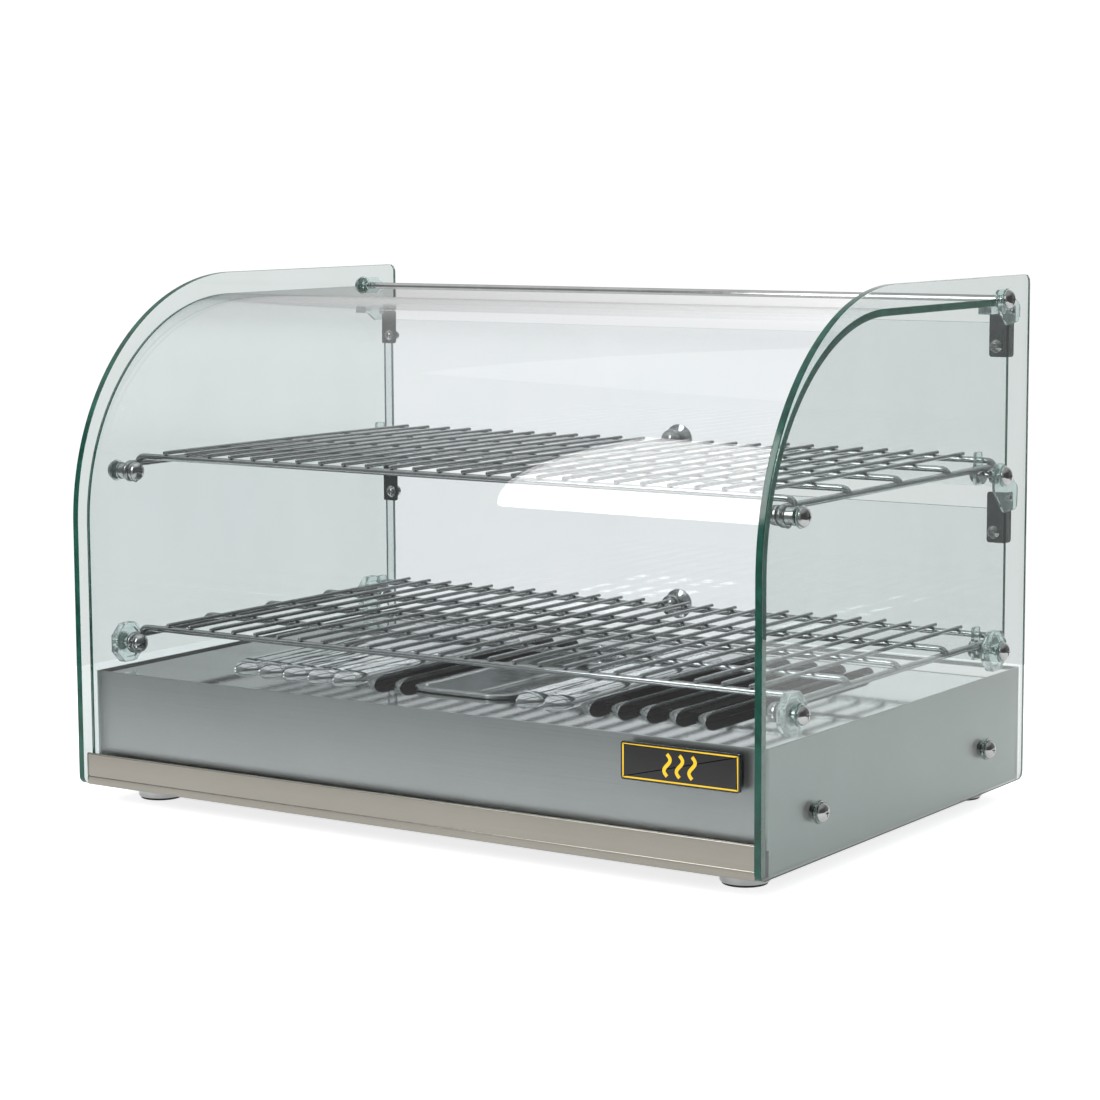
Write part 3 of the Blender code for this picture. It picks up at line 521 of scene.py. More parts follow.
rubber = moulded("black_rubber_pad", "#161616", "#262524", (0.6, 0.8), 0.8, 0.04)

# %% [markdown]
# ## Hanging each piece in the frame
# A finished piece gets its finish and rides on the body that carries it, and the CAD nodes that it
# stands for are hidden.

# %% Hanging pieces


def hang(obj, material, body, nodes=()):
    if not obj.data.materials:
        obj.data.materials.append(material)
    else:
        obj.data.materials[0] = material
    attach(obj, body)
    if nodes:
        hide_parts(*([nodes] if isinstance(nodes, str) else nodes))
    return obj


def paint(obj, material, test):
    """Gives the faces whose (middle in case mm, normal) pass the test a further material."""
    obj.data.materials.append(material)
    index = len(obj.data.materials) - 1
    for face in obj.data.polygons:
        here = Vector((face.center.x, face.center.y - MIDDLE_Y, face.center.z)) / MM
        if test(here, face.normal):
            face.material_index = index


# %% [markdown]
# ## Side glasses
# Each side is one pane with a quarter circle of 172 mm at the front top. A block of the pane's size
# has that corner rounded by a very wide bevel on one edge. Then come the drilled holes, and a small
# arris on every sharp edge, which catches the light as a thin bright line.

# %% Side glasses
BASE_SCREWS = {"front": (-114, 44), "rear": (126, 44)}
TIE_ROD = (148, 353)
SIDE_ARC = 172
SCREW_HOLE_R = 3
side_holes = list(BASE_SCREWS.values()) + [TIE_ROD]
side_holes += [(y, z) for z in SHELF_Z.values() for y in (FRONT_SUPPORT, REAR_SUPPORT)]
pane_front = (pane_low.y - MIDDLE_Y) / MM
pane_rear = (pane_high.y - MIDDLE_Y) / MM
pane_bottom, pane_top = pane_low.z / MM, pane_high.z / MM


def at_square_corner(p):
    at_end = p.z < pane_bottom + 1 or p.z > pane_top - 1
    return at_end and (p.y > pane_rear - 1 or p.y < pane_front + 1)


def side_glass():
    pane = block(
        "side_pane", (SIDE_INNER, pane_front, pane_bottom), (SIDE_OUTER, pane_rear, pane_top)
    )
    edit(pane)
    pick("EDGE", lambda p, d: abs(d.x) > 0.9 and p.y < 0 and p.z > pane_top - 1)
    bevel_picked(SIDE_ARC, 56)
    pick("EDGE", lambda p, d: abs(d.x) > 0.9 and at_square_corner(p))
    bevel_picked(6, 6)
    done()
    middle = (SIDE_INNER + SIDE_OUTER) / 2
    drills = [rod("drill", "X", (middle, y, z), SCREW_HOLE_R, 12, 24) for y, z in side_holes]
    cut(pane, *drills)
    round_edges(pane, 0.6, 2)
    return smooth(pane)


right_pane = side_glass()
left_pane = smooth(mirrored_copy(right_pane, "left_pane"))
for side, pane in {"right": right_pane, "left": left_pane}.items():
    pane.name = f"{side}_side_pane"
    hang(pane, side_glass_face, "case", f"side_glass_{side}")
    paint(pane, rim_glass, lambda p, n: abs(n.x) < 0.9)
print("side pane faces:", len(right_pane.data.polygons), "holes:", len(side_holes))

# %% [markdown]
# ## Bent front glass
# One pane covers the front and the top. It is bent hot over a form, so its thickness stays even.
# A flat sheet is drawn for the front, its top edge is extruded to the rear for the roof, and the
# fold between them is rounded. Solidify then gives the 5 mm on both sides of the middle.

# %% Front glass
bent_low, bent_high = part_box("front_glass")
FRONT_FACE = (bent_low.y - MIDDLE_Y) / MM
bent_half = bent_high.x / MM
bent_top = bent_high.z / MM
bent_rear = (bent_high.y - MIDDLE_Y) / MM
bent_foot = bent_low.z / MM
GLASS = 5
BEND_RADIUS = 157
RIM = 0.7
bent = sheet_strip(
    "bent_front_glass",
    (-bent_half, FRONT_FACE + GLASS / 2, bent_top - GLASS / 2),
    (bent_half, bent_rear, bent_top - GLASS / 2),
)
edit(bent)
pick("EDGE", lambda p, d: abs(d.x) > 0.9 and p.y < FRONT_FACE + GLASS)
extrude_picked(z=bent_foot - (bent_top - GLASS / 2))
pick("EDGE", lambda p, d: abs(d.x) > 0.9 and p.y < FRONT_FACE + GLASS and p.z > bent_top - GLASS)
bevel_picked(BEND_RADIUS - GLASS / 2, 56)
done()
give_wall(bent, GLASS)
round_edges(bent, 0.6, 2)
smooth(bent)
hang(bent, pane_glass, "case", "front_glass")
paint(
    bent,
    rim_glass,
    lambda p, n: abs(p.x) > bent_half - RIM or p.z < bent_foot + RIM or p.y > bent_rear - RIM,
)
print("front glass faces:", len(bent.data.polygons))

# %% [markdown]
# ## Flap doors
# Two 4 mm panes hang from pins at their top corners. Each has a drilled hole for its knob and one
# for each hinge bracket.

# %% Doors
KNOB_Z = {"upper": 244, "lower": 118.5}
DOOR_FRONT, DOOR_REAR = 165, 169
HINGE_SCREW_X, HINGE_SCREW_DROP = 259.4, 24.3
for level in ("upper", "lower"):
    door_low, door_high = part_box(f"{level}_door")
    half, foot, head = door_high.x / MM, door_low.z / MM, door_high.z / MM
    door = block(f"{level}_door_pane", (-half, DOOR_FRONT, foot), (half, DOOR_REAR, head))
    edit(door)
    pick("EDGE", lambda p, d: abs(d.y) > 0.9)
    bevel_picked(3, 5)
    done()
    middle = (DOOR_FRONT + DOOR_REAR) / 2
    drills = [rod("drill", "Y", (0, middle, KNOB_Z[level]), 2.9, 10, 24)]
    for sign in SIDES.values():
        place = (sign * HINGE_SCREW_X, middle, PIN_Z[level] - HINGE_SCREW_DROP)
        drills.append(rod("drill", "Y", place, 2.4, 10, 24))
    cut(door, *drills)
    round_edges(door, 0.5, 2)
    smooth(door)
    hang(door, pane_glass, f"{level}_flap", f"{level}_door")
    paint(door, rim_glass, lambda p, n: abs(n.y) < 0.9)
    print(level, "door", round(2 * half), "x", round(head - foot), "mm")

# %% [markdown]
# ## Base housing and its plates
# The housing is one strip of satin sheet folded round four corners, so it starts as a block with
# no top or bottom, gets soft bends, and then its wall. The switch, lamp, knob and cord gland pass
# through holes in its rear.

# %% Base housing
THERMOSTAT_X, LAMP_X, SWITCH_X, GLAND_X, CONTROL_Z = -120, -80, -40, 215, 50
base_low, base_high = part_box("base_housing")
BASE_HALF = base_high.x / MM
BASE_FRONT, BASE_REAR = (base_low.y - MIDDLE_Y) / MM, (base_high.y - MIDDLE_Y) / MM
BASE_BOTTOM, BASE_TOP = base_low.z / MM, base_high.z / MM
housing = block(
    "base_wrap", (-BASE_HALF, BASE_FRONT, BASE_BOTTOM), (BASE_HALF, BASE_REAR, BASE_TOP)
)
edit(housing)
pick("FACE", lambda p, n: abs(n.z) > 0.9)
bpy.ops.mesh.delete(type="ONLY_FACE")
pick("EDGE", lambda p, d: abs(d.z) > 0.9)
bevel_picked(2.2, 6)
done()
give_wall(housing, 1.5, -1)
rear_middle = BASE_REAR - 0.75
drills = [
    rod("drill", "Y", (THERMOSTAT_X, rear_middle, CONTROL_Z), 4, 6),
    rod("drill", "Y", (LAMP_X, rear_middle, CONTROL_Z), 5.4, 6),
    rod("drill", "Y", (GLAND_X, rear_middle, CONTROL_Z), 7.1, 6),
    block(
        "drill",
        (SWITCH_X - 14.8, rear_middle - 3, CONTROL_Z - 6.8),
        (SWITCH_X + 14.8, rear_middle + 3, CONTROL_Z + 6.8),
    ),
]
for sign in SIDES.values():
    drills += [
        rod("drill", "X", (sign * (BASE_HALF - 0.75), y, z), SCREW_HOLE_R, 6, 24)
        for y, z in BASE_SCREWS.values()
    ]
cut(housing, *drills)
round_edges(housing, 0.35, 2)
smooth(housing)
hang(housing, satin_steel, "case", "base_housing")
print("housing faces:", len(housing.data.polygons))

# %% [markdown]
# ## Louvred deck
# The deck is bright sheet with folded edges. Each louvre is pressed: a long slot is sheared and the
# metal beside it is domed up, with rounded ends, so that warm air comes out sideways. One hood is
# modelled from a ball: it is flattened, cut off at the deck and at its lip, split at its middle and
# drawn out long. Then it is copied to each slot, turned to face outwards or towards the tray.

# %% Deck plate
LOUVRE_WIDTH, LOUVRE_HEIGHT, LOUVRE_LENGTH = 14, 7, 224
LOUVRE_PITCH = 22
OUTWARD_FIRST, INWARD_FIRST = 106, 70
louvres = []
for sign in SIDES.values():
    louvres += [(sign * (OUTWARD_FIRST + i * LOUVRE_PITCH), sign) for i in range(5)]
    louvres += [(sign * (INWARD_FIRST - i * LOUVRE_PITCH), -sign) for i in range(2)]
SLOT_HALF = 105
DECK_INSET = 1.8
deck_half = BASE_HALF - DECK_INSET
deck = block(
    "deck_plate",
    (-deck_half, BASE_FRONT + DECK_INSET, DECK_TOP - 12),
    (deck_half, BASE_REAR - DECK_INSET, DECK_TOP),
)
edit(deck)
pick("FACE", lambda p, n: n.z < -0.9)
bpy.ops.mesh.delete(type="FACE")
pick("EDGE", lambda p, d: p.z > DECK_TOP - 1)
bevel_picked(1.4, 5)
done()
give_wall(deck, 1.2, -1)
slots = []
for x_open, facing in louvres:
    ends = sorted((x_open, x_open - facing * (LOUVRE_WIDTH - 1.5)))
    low, high = (ends[0], -SLOT_HALF, DECK_TOP - 4), (ends[1], SLOT_HALF, DECK_TOP + 4)
    slots.append(block("slot", low, high))
    edit(slots[-1])
    pick("EDGE", lambda p, d: abs(d.z) > 0.9 and (p.x - x_open) * facing < -1)
    bevel_picked(11, 6)
    done()
tray_hole = block("slot", (-36, -108, DECK_TOP - 5), (36, 108, DECK_TOP + 5))
edit(tray_hole)
pick("EDGE", lambda p, d: abs(d.z) > 0.9)
bevel_picked(14, 6)
done()
cut(deck, *slots, tray_hole)
print("deck slots:", len(slots))

# %% Louvre hoods
bpy.ops.object.select_all(action="DESELECT")
bpy.ops.mesh.primitive_uv_sphere_add(
    segments=48,
    ring_count=20,
    radius=MM,
    location=at(LOUVRE_WIDTH, 0, DECK_TOP - 0.7),
    rotation=(math.pi / 2, 0, 0),
    scale=(2 * LOUVRE_WIDTH, 1.2 * LOUVRE_HEIGHT, 1.15 * LOUVRE_WIDTH),
)
hood = take("hood")
straight = LOUVRE_LENGTH / 2 - LOUVRE_WIDTH
edit(hood)
for place, way in (((0, 0, 0), (1, 0, 0)), ((0, 0, DECK_TOP - 0.7), (0, 0, -1))):
    bpy.ops.mesh.select_all(action="SELECT")
    bpy.ops.mesh.bisect(plane_co=at(*place), plane_no=way, clear_outer=True)
pick("FACE", lambda p, n: p.y > 0)
bpy.ops.mesh.split()
for way in (1, -1):
    pick("FACE", lambda p, n: p.y * way > 0)
    bpy.ops.transform.translate(value=(0, way * straight * MM, 0))
pick("EDGE", lambda p, d: abs(abs(p.y) - straight) < 0.01 and abs(d.y) < 0.1)
bpy.ops.mesh.bridge_edge_loops()
bpy.ops.mesh.select_all(action="SELECT")
bpy.ops.mesh.remove_doubles(threshold=1e-6)
bpy.ops.mesh.normals_make_consistent(inside=False)
done()
give_wall(hood, 0.4, -1)
round_edges(hood, 0.1, 2, 50)
hoods = []
for i, (x_open, facing) in enumerate(louvres):
    if facing > 0:
        hoods.append(shifted_copy(hood, f"hood_{i}", x=x_open))
    else:
        turned_hood = mirrored_copy(hood, f"hood_{i}")
        turned_hood.data.transform(Matrix.Translation((x_open * MM, 0, 0)))
        hoods.append(turned_hood)
bpy.data.objects.remove(hood, do_unlink=True)
round_edges(deck, 0.3, 2, 50)
deck = merge("louvred_deck", deck, *hoods)
smooth(deck, 40)
hang(deck, bright_deck_steel, "case", "base_deck")
print("deck faces:", len(deck.data.polygons))

# %% [markdown]
# ## Water tray
# A drawn pan: the flat rim has wide round corners, the well is pressed down in it and the outer
# edge is turned over. A plane is rounded at its corners, inset for the rim and extruded downwards,
# in small steps so that the wall leans and meets the floor in a soft curve.

# %% Water tray
RIM_TOP = 94.4
tray = sheet_strip("drop_in_tray", (-42, -114, RIM_TOP), (42, 114, RIM_TOP))
edit(tray)
bpy.ops.mesh.select_all(action="SELECT")
bevel_picked(18, 10, "VERTICES")
bpy.ops.mesh.select_all(action="SELECT")
for inset, down in ((6.2, 0.0), (1.0, 0.3), (0.9, 0.9), (0.5, 11.0), (0.9, 1.6), (1.6, 0.9)):
    bpy.ops.mesh.inset(thickness=inset * MM, depth=0)
    bpy.ops.transform.translate(value=(0, 0, -down * MM))
bpy.ops.mesh.select_mode(type="EDGE")
bpy.ops.mesh.select_all(action="DESELECT")
bpy.ops.mesh.select_non_manifold()
extrude_picked(z=-2.2)
bpy.ops.mesh.select_all(action="SELECT")
bpy.ops.mesh.normals_make_consistent(inside=False)
done()
if tray.data.polygons[0].normal.z < 0:
    tray.data.flip_normals()
give_wall(tray, 0.9, -1)
round_edges(tray, 0.5, 3, 40)
smooth(tray, 45)
hang(tray, pressed_steel, "tray", "water_tray")
print("tray faces:", len(tray.data.polygons))

# %% [markdown]
# ## Channel, bottom plate and feet
# The foot of the bent glass stands in a channel folded from warm satin strip. Its floor is drawn as
# a plane, and both long edges are pulled up. The front wall has a shallow crease, and its top edge is
# hemmed towards the glass. The feet are turned discs with a thin rubber pad.

# %% Front channel
CHANNEL_BACK_TOP = 30
channel_low, channel_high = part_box("front_channel")
channel_half = SIDE_INNER - 0.8
channel_front = (channel_low.y - MIDDLE_Y) / MM
channel_back = (channel_high.y - MIDDLE_Y) / MM
channel_floor = channel_low.z / MM
channel = sheet_strip(
    "foot_channel",
    (-channel_half, channel_front, channel_floor),
    (channel_half, channel_back, channel_floor),
)
edit(channel)
pick("EDGE", lambda p, d: abs(d.x) > 0.9 and p.y > channel_back - 0.1)
extrude_picked(z=CHANNEL_BACK_TOP - channel_floor)
pick("EDGE", lambda p, d: abs(d.x) > 0.9 and p.y < channel_front + 0.1)
for rise, out in (
    (5.0, 0.0), (0.7, 0.5), (0.7, -0.5), (channel_high.z / MM - channel_floor - 7.0, 0.0),
    (0.45, 0.25), (0.15, 0.7), (-0.15, 0.7), (-0.5, 0.25), (-3.0, 0.0),
):
    extrude_picked(y=out, z=rise)
pick("EDGE", lambda p, d: abs(d.x) > 0.9 and abs(p.z - channel_floor) < 0.1)
bevel_picked(1.2, 4)
bpy.ops.mesh.select_all(action="SELECT")
bpy.ops.mesh.remove_doubles(threshold=1e-6)
bpy.ops.mesh.normals_make_consistent(inside=False)
done()
give_wall(channel, 1.0, 0)
smooth(channel, 50)
hang(channel, warm_satin_steel, "case", "front_channel")
print("channel faces:", len(channel.data.polygons))

# %% Bottom plate and feet
plate = block(
    "bottom_cover",
    (-deck_half, BASE_FRONT + DECK_INSET, BASE_BOTTOM),
    (deck_half, BASE_REAR - DECK_INSET, BASE_BOTTOM + 1.5),
)
VENT_PITCH = 11
vents = []
for i in range(9):
    x = (i - 4) * VENT_PITCH
    vents.append(block("vent", (x, 60, BASE_BOTTOM - 2), (x + 4, 110, BASE_BOTTOM + 4)))
    edit(vents[-1])
    pick("EDGE", lambda p, d: abs(d.z) > 0.9)
    bevel_picked(1.9, 4)
    done()
cut(plate, *vents)
round_edges(plate, 0.3, 2)
smooth(plate)
# The bottom plate's dark steel is painted shade for the inside of the base under the louvre slots.
hang(plate, interior_painted_shade_steel, "case", "bottom_plate")
foot_profile = [
    (12.7, 0), (12.7, 7), (9.2, 7), (8.6, 7.6), (8.5, 14.2), (8.1, 15.4), (7.2, 16), (2.2, 16),
    (1.6, 15.6), (1.4, 14.8), (1.4, 0),
]
pad_profile = [(1.3, 0), (1.3, 14.2), (1.0, 14.6), (0.3, 14.6), (0, 14.2), (0, 0)]
FOOT_X, FOOT_Y = 240, {"front": -142, "rear": 161}
for end, y in FOOT_Y.items():
    for side, sign in SIDES.items():
        place = (sign * FOOT_X, y, 0)
        foot = turned(f"{side}_{end}_foot_disc", "Z", place, foot_profile, 48)
        pad = turned(f"{side}_{end}_foot_pad", "Z", place, pad_profile, 48)
        hang(smooth(foot), plated, "case", f"foot_{end}_{side}")
        hang(smooth(pad), rubber, "case")
print("feet:", 2 * len(SIDES))

# %% [markdown]
# ## Screws and shelf supports
# All screws have pan heads with a cross recess. The recess is a cross: a small block whose four
# sides are extruded outwards. It is cut into the turned head. A shelf support is a row of pieces on
# one long screw: head, washer, barrel, a groove for the shelf's hook, a flange and an inner head.

# %% Cross recess
RECESS_REACH, RECESS_DEPTH = 2.5, 2.3


def cross_recess(x_tip, sign, y, z):
    """A cross-shaped cutter whose mouth is at x_tip and which goes in against sign."""
    low, high = sorted((x_tip + sign * 1.0, x_tip - sign * RECESS_DEPTH))
    cross = block("cross", (low, y - 0.6, z - 0.6), (high, y + 0.6, z + 0.6))
    edit(cross)
    pick("FACE", lambda p, n: abs(n.x) < 0.5)
    bpy.ops.mesh.extrude_faces_move(TRANSFORM_OT_shrink_fatten={"value": RECESS_REACH * MM})
    pick("VERT", lambda p, n: (p.x - x_tip) * sign < -RECESS_DEPTH + 0.1)
    bpy.ops.transform.resize(value=(1, 0.45, 0.45), center_override=at(x_tip, y, z))
    done()
    return cross


HEAD_RISE, INNER_HEAD_RISE = 4.9, 4.8


def head_profile(base):
    """Outer head above base, first a point on the axis."""
    return [
        (base + HEAD_RISE, 0), (base + 4.85, 1.5), (base + 4.6, 3.0), (base + 4.0, 4.4), (base + 3.0, 5.6),
        (base + 1.8, 6.3), (base + 0.6, 6.5), (base + 0.1, 6.3), (base, 6.0), (base, 2.6),
    ]


def inner_head(base):
    """Inner head below base, last a point on the axis."""
    return [
        (base, 6.1), (base - 0.3, 6.4), (base - 1.6, 6.3), (base - 2.8, 5.7), (base - 3.9, 4.4),
        (base - 4.5, 3.0), (base - 4.75, 1.5), (base - INNER_HEAD_RISE, 0),
    ]


WASHER = 1.1
HEAD_BASE = SIDE_OUTER + 0.2 + WASHER
HEAD_TIP = HEAD_BASE + HEAD_RISE
washer_profile = [
    (HEAD_BASE - 0.1, 2.8), (HEAD_BASE - 0.1, 7.0), (HEAD_BASE - 0.4, 7.4),
    (SIDE_OUTER + 0.3, 7.4), (SIDE_OUTER + 0.1, 7.1), (SIDE_OUTER + 0.1, 2.8), (HEAD_BASE - 0.1, 2.8),
]


def both_sides(right, name, material, body, node):
    """Hangs a right-hand piece and its mirror image. name and node hold {} for the side."""
    left = smooth(mirrored_copy(right, name.format("left")), 38)
    right.name = name.format("right")
    for side, piece in {"right": right, "left": left}.items():
        hang(piece, material, body, node.format(side) if node else ())


def clear_washer(name, y, z):
    ring = smooth(turned("ring", "X", (0, y, z), washer_profile))
    both_sides(ring, name, clear_moulding, "case", None)


# %% Base screws and tie-rod screws
nut_outer = BASE_HALF - 1.8
base_screw_profile = head_profile(HEAD_BASE) + [
    (nut_outer, 2.6), (nut_outer, 4.6), (nut_outer - 0.4, 5.4), (nut_outer - 3.6, 5.4),
    (nut_outer - 4, 5.0), (nut_outer - 4, 2.4), (nut_outer - 6, 2.2), (nut_outer - 6.4, 0),
]
for end, (y, z) in BASE_SCREWS.items():
    screw = turned("screw", "X", (0, y, z), base_screw_profile)
    cut(screw, cross_recess(HEAD_TIP, 1, y, z))
    node = f"base_screw_{end}_" + "{}"
    both_sides(smooth(screw), "{}_" + f"{end}_glass_screw", plated, "case", node)
    clear_washer("{}_" + f"{end}_glass_washer", y, z)
TIE_Y, TIE_Z = TIE_ROD
tie_profile = head_profile(HEAD_BASE) + [(268.9, 2.6), (268.7, 2.2), (268.7, 0)]
screw = turned("screw", "X", (0, TIE_Y, TIE_Z), tie_profile)
cut(screw, cross_recess(HEAD_TIP, 1, TIE_Y, TIE_Z))
both_sides(smooth(screw), "{}_tie_screw", plated, "case", "tie_rod_screw_{}")
clear_washer("{}_tie_washer", TIE_Y, TIE_Z)
bar = rod("tie_bar", "X", (0, TIE_Y, TIE_Z), 3, 536.8, 32)
round_edges(bar, 0.6, 3)
hang(smooth(bar), plated, "case", "tie_rod")
print("screw head stands out to", round(HEAD_TIP, 1), "mm")

# %% Shelf supports
GROOVE_OUT, GROOVE_IN, GROOVE_R = 265.1, 259.3, 2.35


def support_profile(neck, clip):
    profile = head_profile(HEAD_BASE) + [(neck, 2.6)]
    if neck > GROOVE_OUT + 1:
        profile += [(neck, 5.2), (neck - 0.5, 5.9)]
        if neck > GROOVE_OUT + 5:
            profile += [(neck - 1.6, 5.9), (neck - 1.9, 5.4), (neck - 2.2, 5.4)]
        profile += [(GROOVE_OUT + 0.4, 5.6), (GROOVE_OUT, 5.2)]
    profile += [(GROOVE_OUT, GROOVE_R), (GROOVE_IN, GROOVE_R), (GROOVE_IN, 6.0), (GROOVE_IN - 0.4, 6.5)]
    flange_end = GROOVE_IN - 1.8
    profile += [(flange_end + 0.3, 6.5), (flange_end, 6.2), (flange_end, 2.6)]
    head = flange_end - (3.3 if clip else 0.4)
    profile += [(head, 2.6)] + inner_head(head)
    return profile, head - INNER_HEAD_RISE


for shelf, z in SHELF_Z.items():
    for end, y in {"front": FRONT_SUPPORT, "rear": REAR_SUPPORT}.items():
        if shelf == "lower":
            neck = GROOVE_OUT
        else:
            neck = 268.4 if end == "rear" else SIDE_INNER - 0.3
        profile, tip = support_profile(neck, end == "rear")
        support = turned("support", "X", (0, y, z), profile)
        cut(support, cross_recess(HEAD_TIP, 1, y, z))
        cut(support, cross_recess(tip, -1, y, z))
        names = "{}_" + f"{shelf}_{end}_support"
        node = f"{shelf}_support_{end}_" + "{}"
        both_sides(smooth(support), names, plated, "case", node)
        clear_washer("{}_" + f"{shelf}_{end}_washer", y, z)
print("supports:", 4 * len(SHELF_Z))

# %% [markdown]
# ## Clear collars, clips and pivot brackets
# These are moulded from clear polycarbonate. The collar is an eight-sided spacer. The clips and
# brackets are flat plates of an odd outline, so a copy of the CAD plate is welded, its flat faces
# are made whole again, and its edges are softened as a mould would leave them. The bracket plates
# are thinned a little from outside, so that their face stays clear of the side glass.

# %% Collars
COLLAR_X, COLLAR_R, COLLAR_WIDTH = 268.55, 15, 6.3


def clear_collar(y, z):
    collar = rod("collar", "X", (COLLAR_X, y, z), COLLAR_R, COLLAR_WIDTH, 8)
    edit(collar)
    bpy.ops.mesh.select_all(action="SELECT")
    bpy.ops.transform.rotate(
        value=math.radians(22.5), orient_axis="X", center_override=at(COLLAR_X, y, z)
    )
    pick("FACE", lambda p, n: n.x < -0.9)
    bpy.ops.mesh.inset(thickness=3.2 * MM, depth=0)
    bpy.ops.mesh.inset(thickness=0.8 * MM, depth=-1.2 * MM)
    done()
    cut(collar, rod("drill", "X", (COLLAR_X, y, z), SCREW_HOLE_R, 12, 24))
    round_edges(collar, 0.35, 3, 25)
    return smooth(collar)


for end, y in {"front": FRONT_SUPPORT, "rear": REAR_SUPPORT}.items():
    collar = clear_collar(y, SHELF_Z["lower"])
    node = f"clear_collar_{end}_" + "{}"
    both_sides(collar, "{}_" + f"{end}_spacer", clear_moulding, "case", node)

# %% Plates softened from the CAD


def softened(node, name, width, segments=2, angle=35):
    """A welded copy of a CAD node with rounded edges. The CAD node itself is left alone."""
    piece = frame["nodes"][node].copy()
    piece.data = frame["nodes"][node].data.copy()
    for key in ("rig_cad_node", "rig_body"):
        if key in piece:
            del piece[key]
    piece.parent = None
    piece.matrix_world = Matrix.Identity(4)
    piece.data.materials.clear()
    bpy.context.scene.collection.objects.link(piece)
    piece.name = name
    edit(piece)
    bpy.ops.mesh.select_all(action="SELECT")
    bpy.ops.mesh.remove_doubles(threshold=1e-5)
    bpy.ops.mesh.dissolve_limited(angle_limit=math.radians(1))
    done()
    round_edges(piece, width, segments, angle)
    return smooth(piece)


PLATE_OUTER, PLATE_BACK = 271, 1.1
for side in SIDES:
    for level in ("upper", "lower"):
        node = f"{level}_pivot_bracket_{side}"
        bracket = softened(node, f"{side}_{level}_pivot_plate", 0.5)
        edit(bracket)
        pick("VERT", lambda p, n: abs(p.x) > PLATE_OUTER)
        bpy.ops.transform.translate(value=(-SIDES[side] * PLATE_BACK * MM, 0, 0))
        done()
        hang(bracket, clear_moulding, "case", node)
        node = f"{level}_clip_{side}"
        clip = softened(node, f"{side}_{level}_shelf_stop", 0.4)
        hang(clip, clear_moulding, "case", node)

# %% [markdown]
# ## Hinge brackets and door knobs
# A bracket is an angle folded from polished strip: a leaf against the glass and a flange that turns
# back round its edge and holds the pin. One corner is drawn out sideways and back into an L, the L
# is pulled up into a sheet, and the fold is rounded. The knob is a bright mushroom outside, and a
# domed cap nut inside.

# %% Hinge brackets
LEAF_START, LEAF_END, LEAF_Y = 254, 267.5, 164.1
FLANGE_DEPTH = 9.4
for level, pin_z in PIN_Z.items():
    top, bottom = pin_z + 4, pin_z - 31.7
    angle = one_corner(at(LEAF_START, LEAF_Y, bottom))
    extrude_picked(x=LEAF_END - LEAF_START)
    extrude_picked(y=FLANGE_DEPTH)
    bpy.ops.mesh.select_all(action="SELECT")
    extrude_picked(z=top - bottom)
    pick("EDGE", lambda p, d: abs(d.z) > 0.9 and p.x > LEAF_END - 1 and p.y < LEAF_Y + 1)
    bevel_picked(1.3, 4)
    bpy.ops.mesh.select_all(action="SELECT")
    bpy.ops.mesh.normals_make_consistent(inside=False)
    done()
    give_wall(angle, 1.1, 0)
    edit(angle)
    pick("EDGE", lambda p, d: abs(d.y) > 0.9 and p.x < LEAF_START + 1 and p.y < LEAF_Y + 1)
    bevel_picked(2, 4)
    pick("EDGE", lambda p, d: abs(d.x) > 0.9 and p.y > LEAF_Y + FLANGE_DEPTH - 0.5)
    bevel_picked(2.5, 4)
    done()
    round_edges(angle, 0.2, 2, 40)
    pin_profile = [
        (271.9, 0), (271.8, 1.1), (271.5, 2.0), (271.1, 2.5), (270.8, 2.5), (270.7, 1.9),
        (268.0, 1.9), (268.0, 3.2), (266.9, 3.2), (266.9, 0),
    ]
    pin = turned("pin", "X", (0, PIN_Y, pin_z), pin_profile, 32)
    screw_z = pin_z - HINGE_SCREW_DROP
    screw_profile = [
        (173.2, 0), (173.1, 1.2), (172.4, 2.0), (172.0, 2.0), (172.0, 4.0), (171.6, 4.5),
        (169.6, 4.5), (169.3, 4.2), (169.3, 2.0), (163.4, 2.0), (163.4, 4.6), (162.9, 4.6),
        (162.6, 4.2), (161.6, 3.6), (160.9, 2.4), (160.6, 1.0), (160.6, 0),
    ]
    screw = turned("screw", "Y", (HINGE_SCREW_X, 0, screw_z), screw_profile, 32)
    for half_x, half_z in ((0.5, 2.2), (2.2, 0.5)):
        low = (HINGE_SCREW_X - half_x, 160, screw_z - half_z)
        cut(screw, block("slot", low, (HINGE_SCREW_X + half_x, 161.8, screw_z + half_z)))
    flap, node = f"{level}_flap", f"{level}_hinge_bracket_" + "{}"
    angle_name, fixings_name = f"{level}_hinge_angle", f"{level}_hinge_pin_and_screw"
    both_sides(smooth(angle, 35), "{}_" + angle_name, polished_leaf, flap, node)
    fixings = smooth(merge("fixings", pin, screw), 35)
    both_sides(fixings, "{}_" + fixings_name, plated, flap, None)
print("hinge leaf height:", round(top - bottom, 1), "mm")

# %% Door knobs
KNOB_R = 11.3
dome = [math.radians(90 - 6 * i) for i in range(1, 14)]
knob_profile = [(186.5, 0)] + [(174.5 + 12 * math.sin(a), 11.2 * math.cos(a)) for a in dome]
knob_profile += [
    (176.6, KNOB_R), (176.0, 11.0), (175.4, 9.6), (174.6, 6.8), (173.4, 5.6), (172.0, 5.4),
    (170.2, 6.4), (169.4, 6.6), (169.3, 2.5), (164.6, 2.5), (164.6, 7.4), (164.2, 7.9),
    (163.2, 7.9), (162.8, 7.4), (162.7, 5.8), (162.2, 5.2), (161.2, 3.9), (160.6, 2.0), (160.5, 0),
]
for level, z in KNOB_Z.items():
    knob = smooth(turned(f"{level}_mushroom_knob", "Y", (0, 0, z), knob_profile, 56))
    hang(knob, plated, f"{level}_flap", f"{level}_door_knob")
print("knob diameter:", 2 * KNOB_R, "mm")

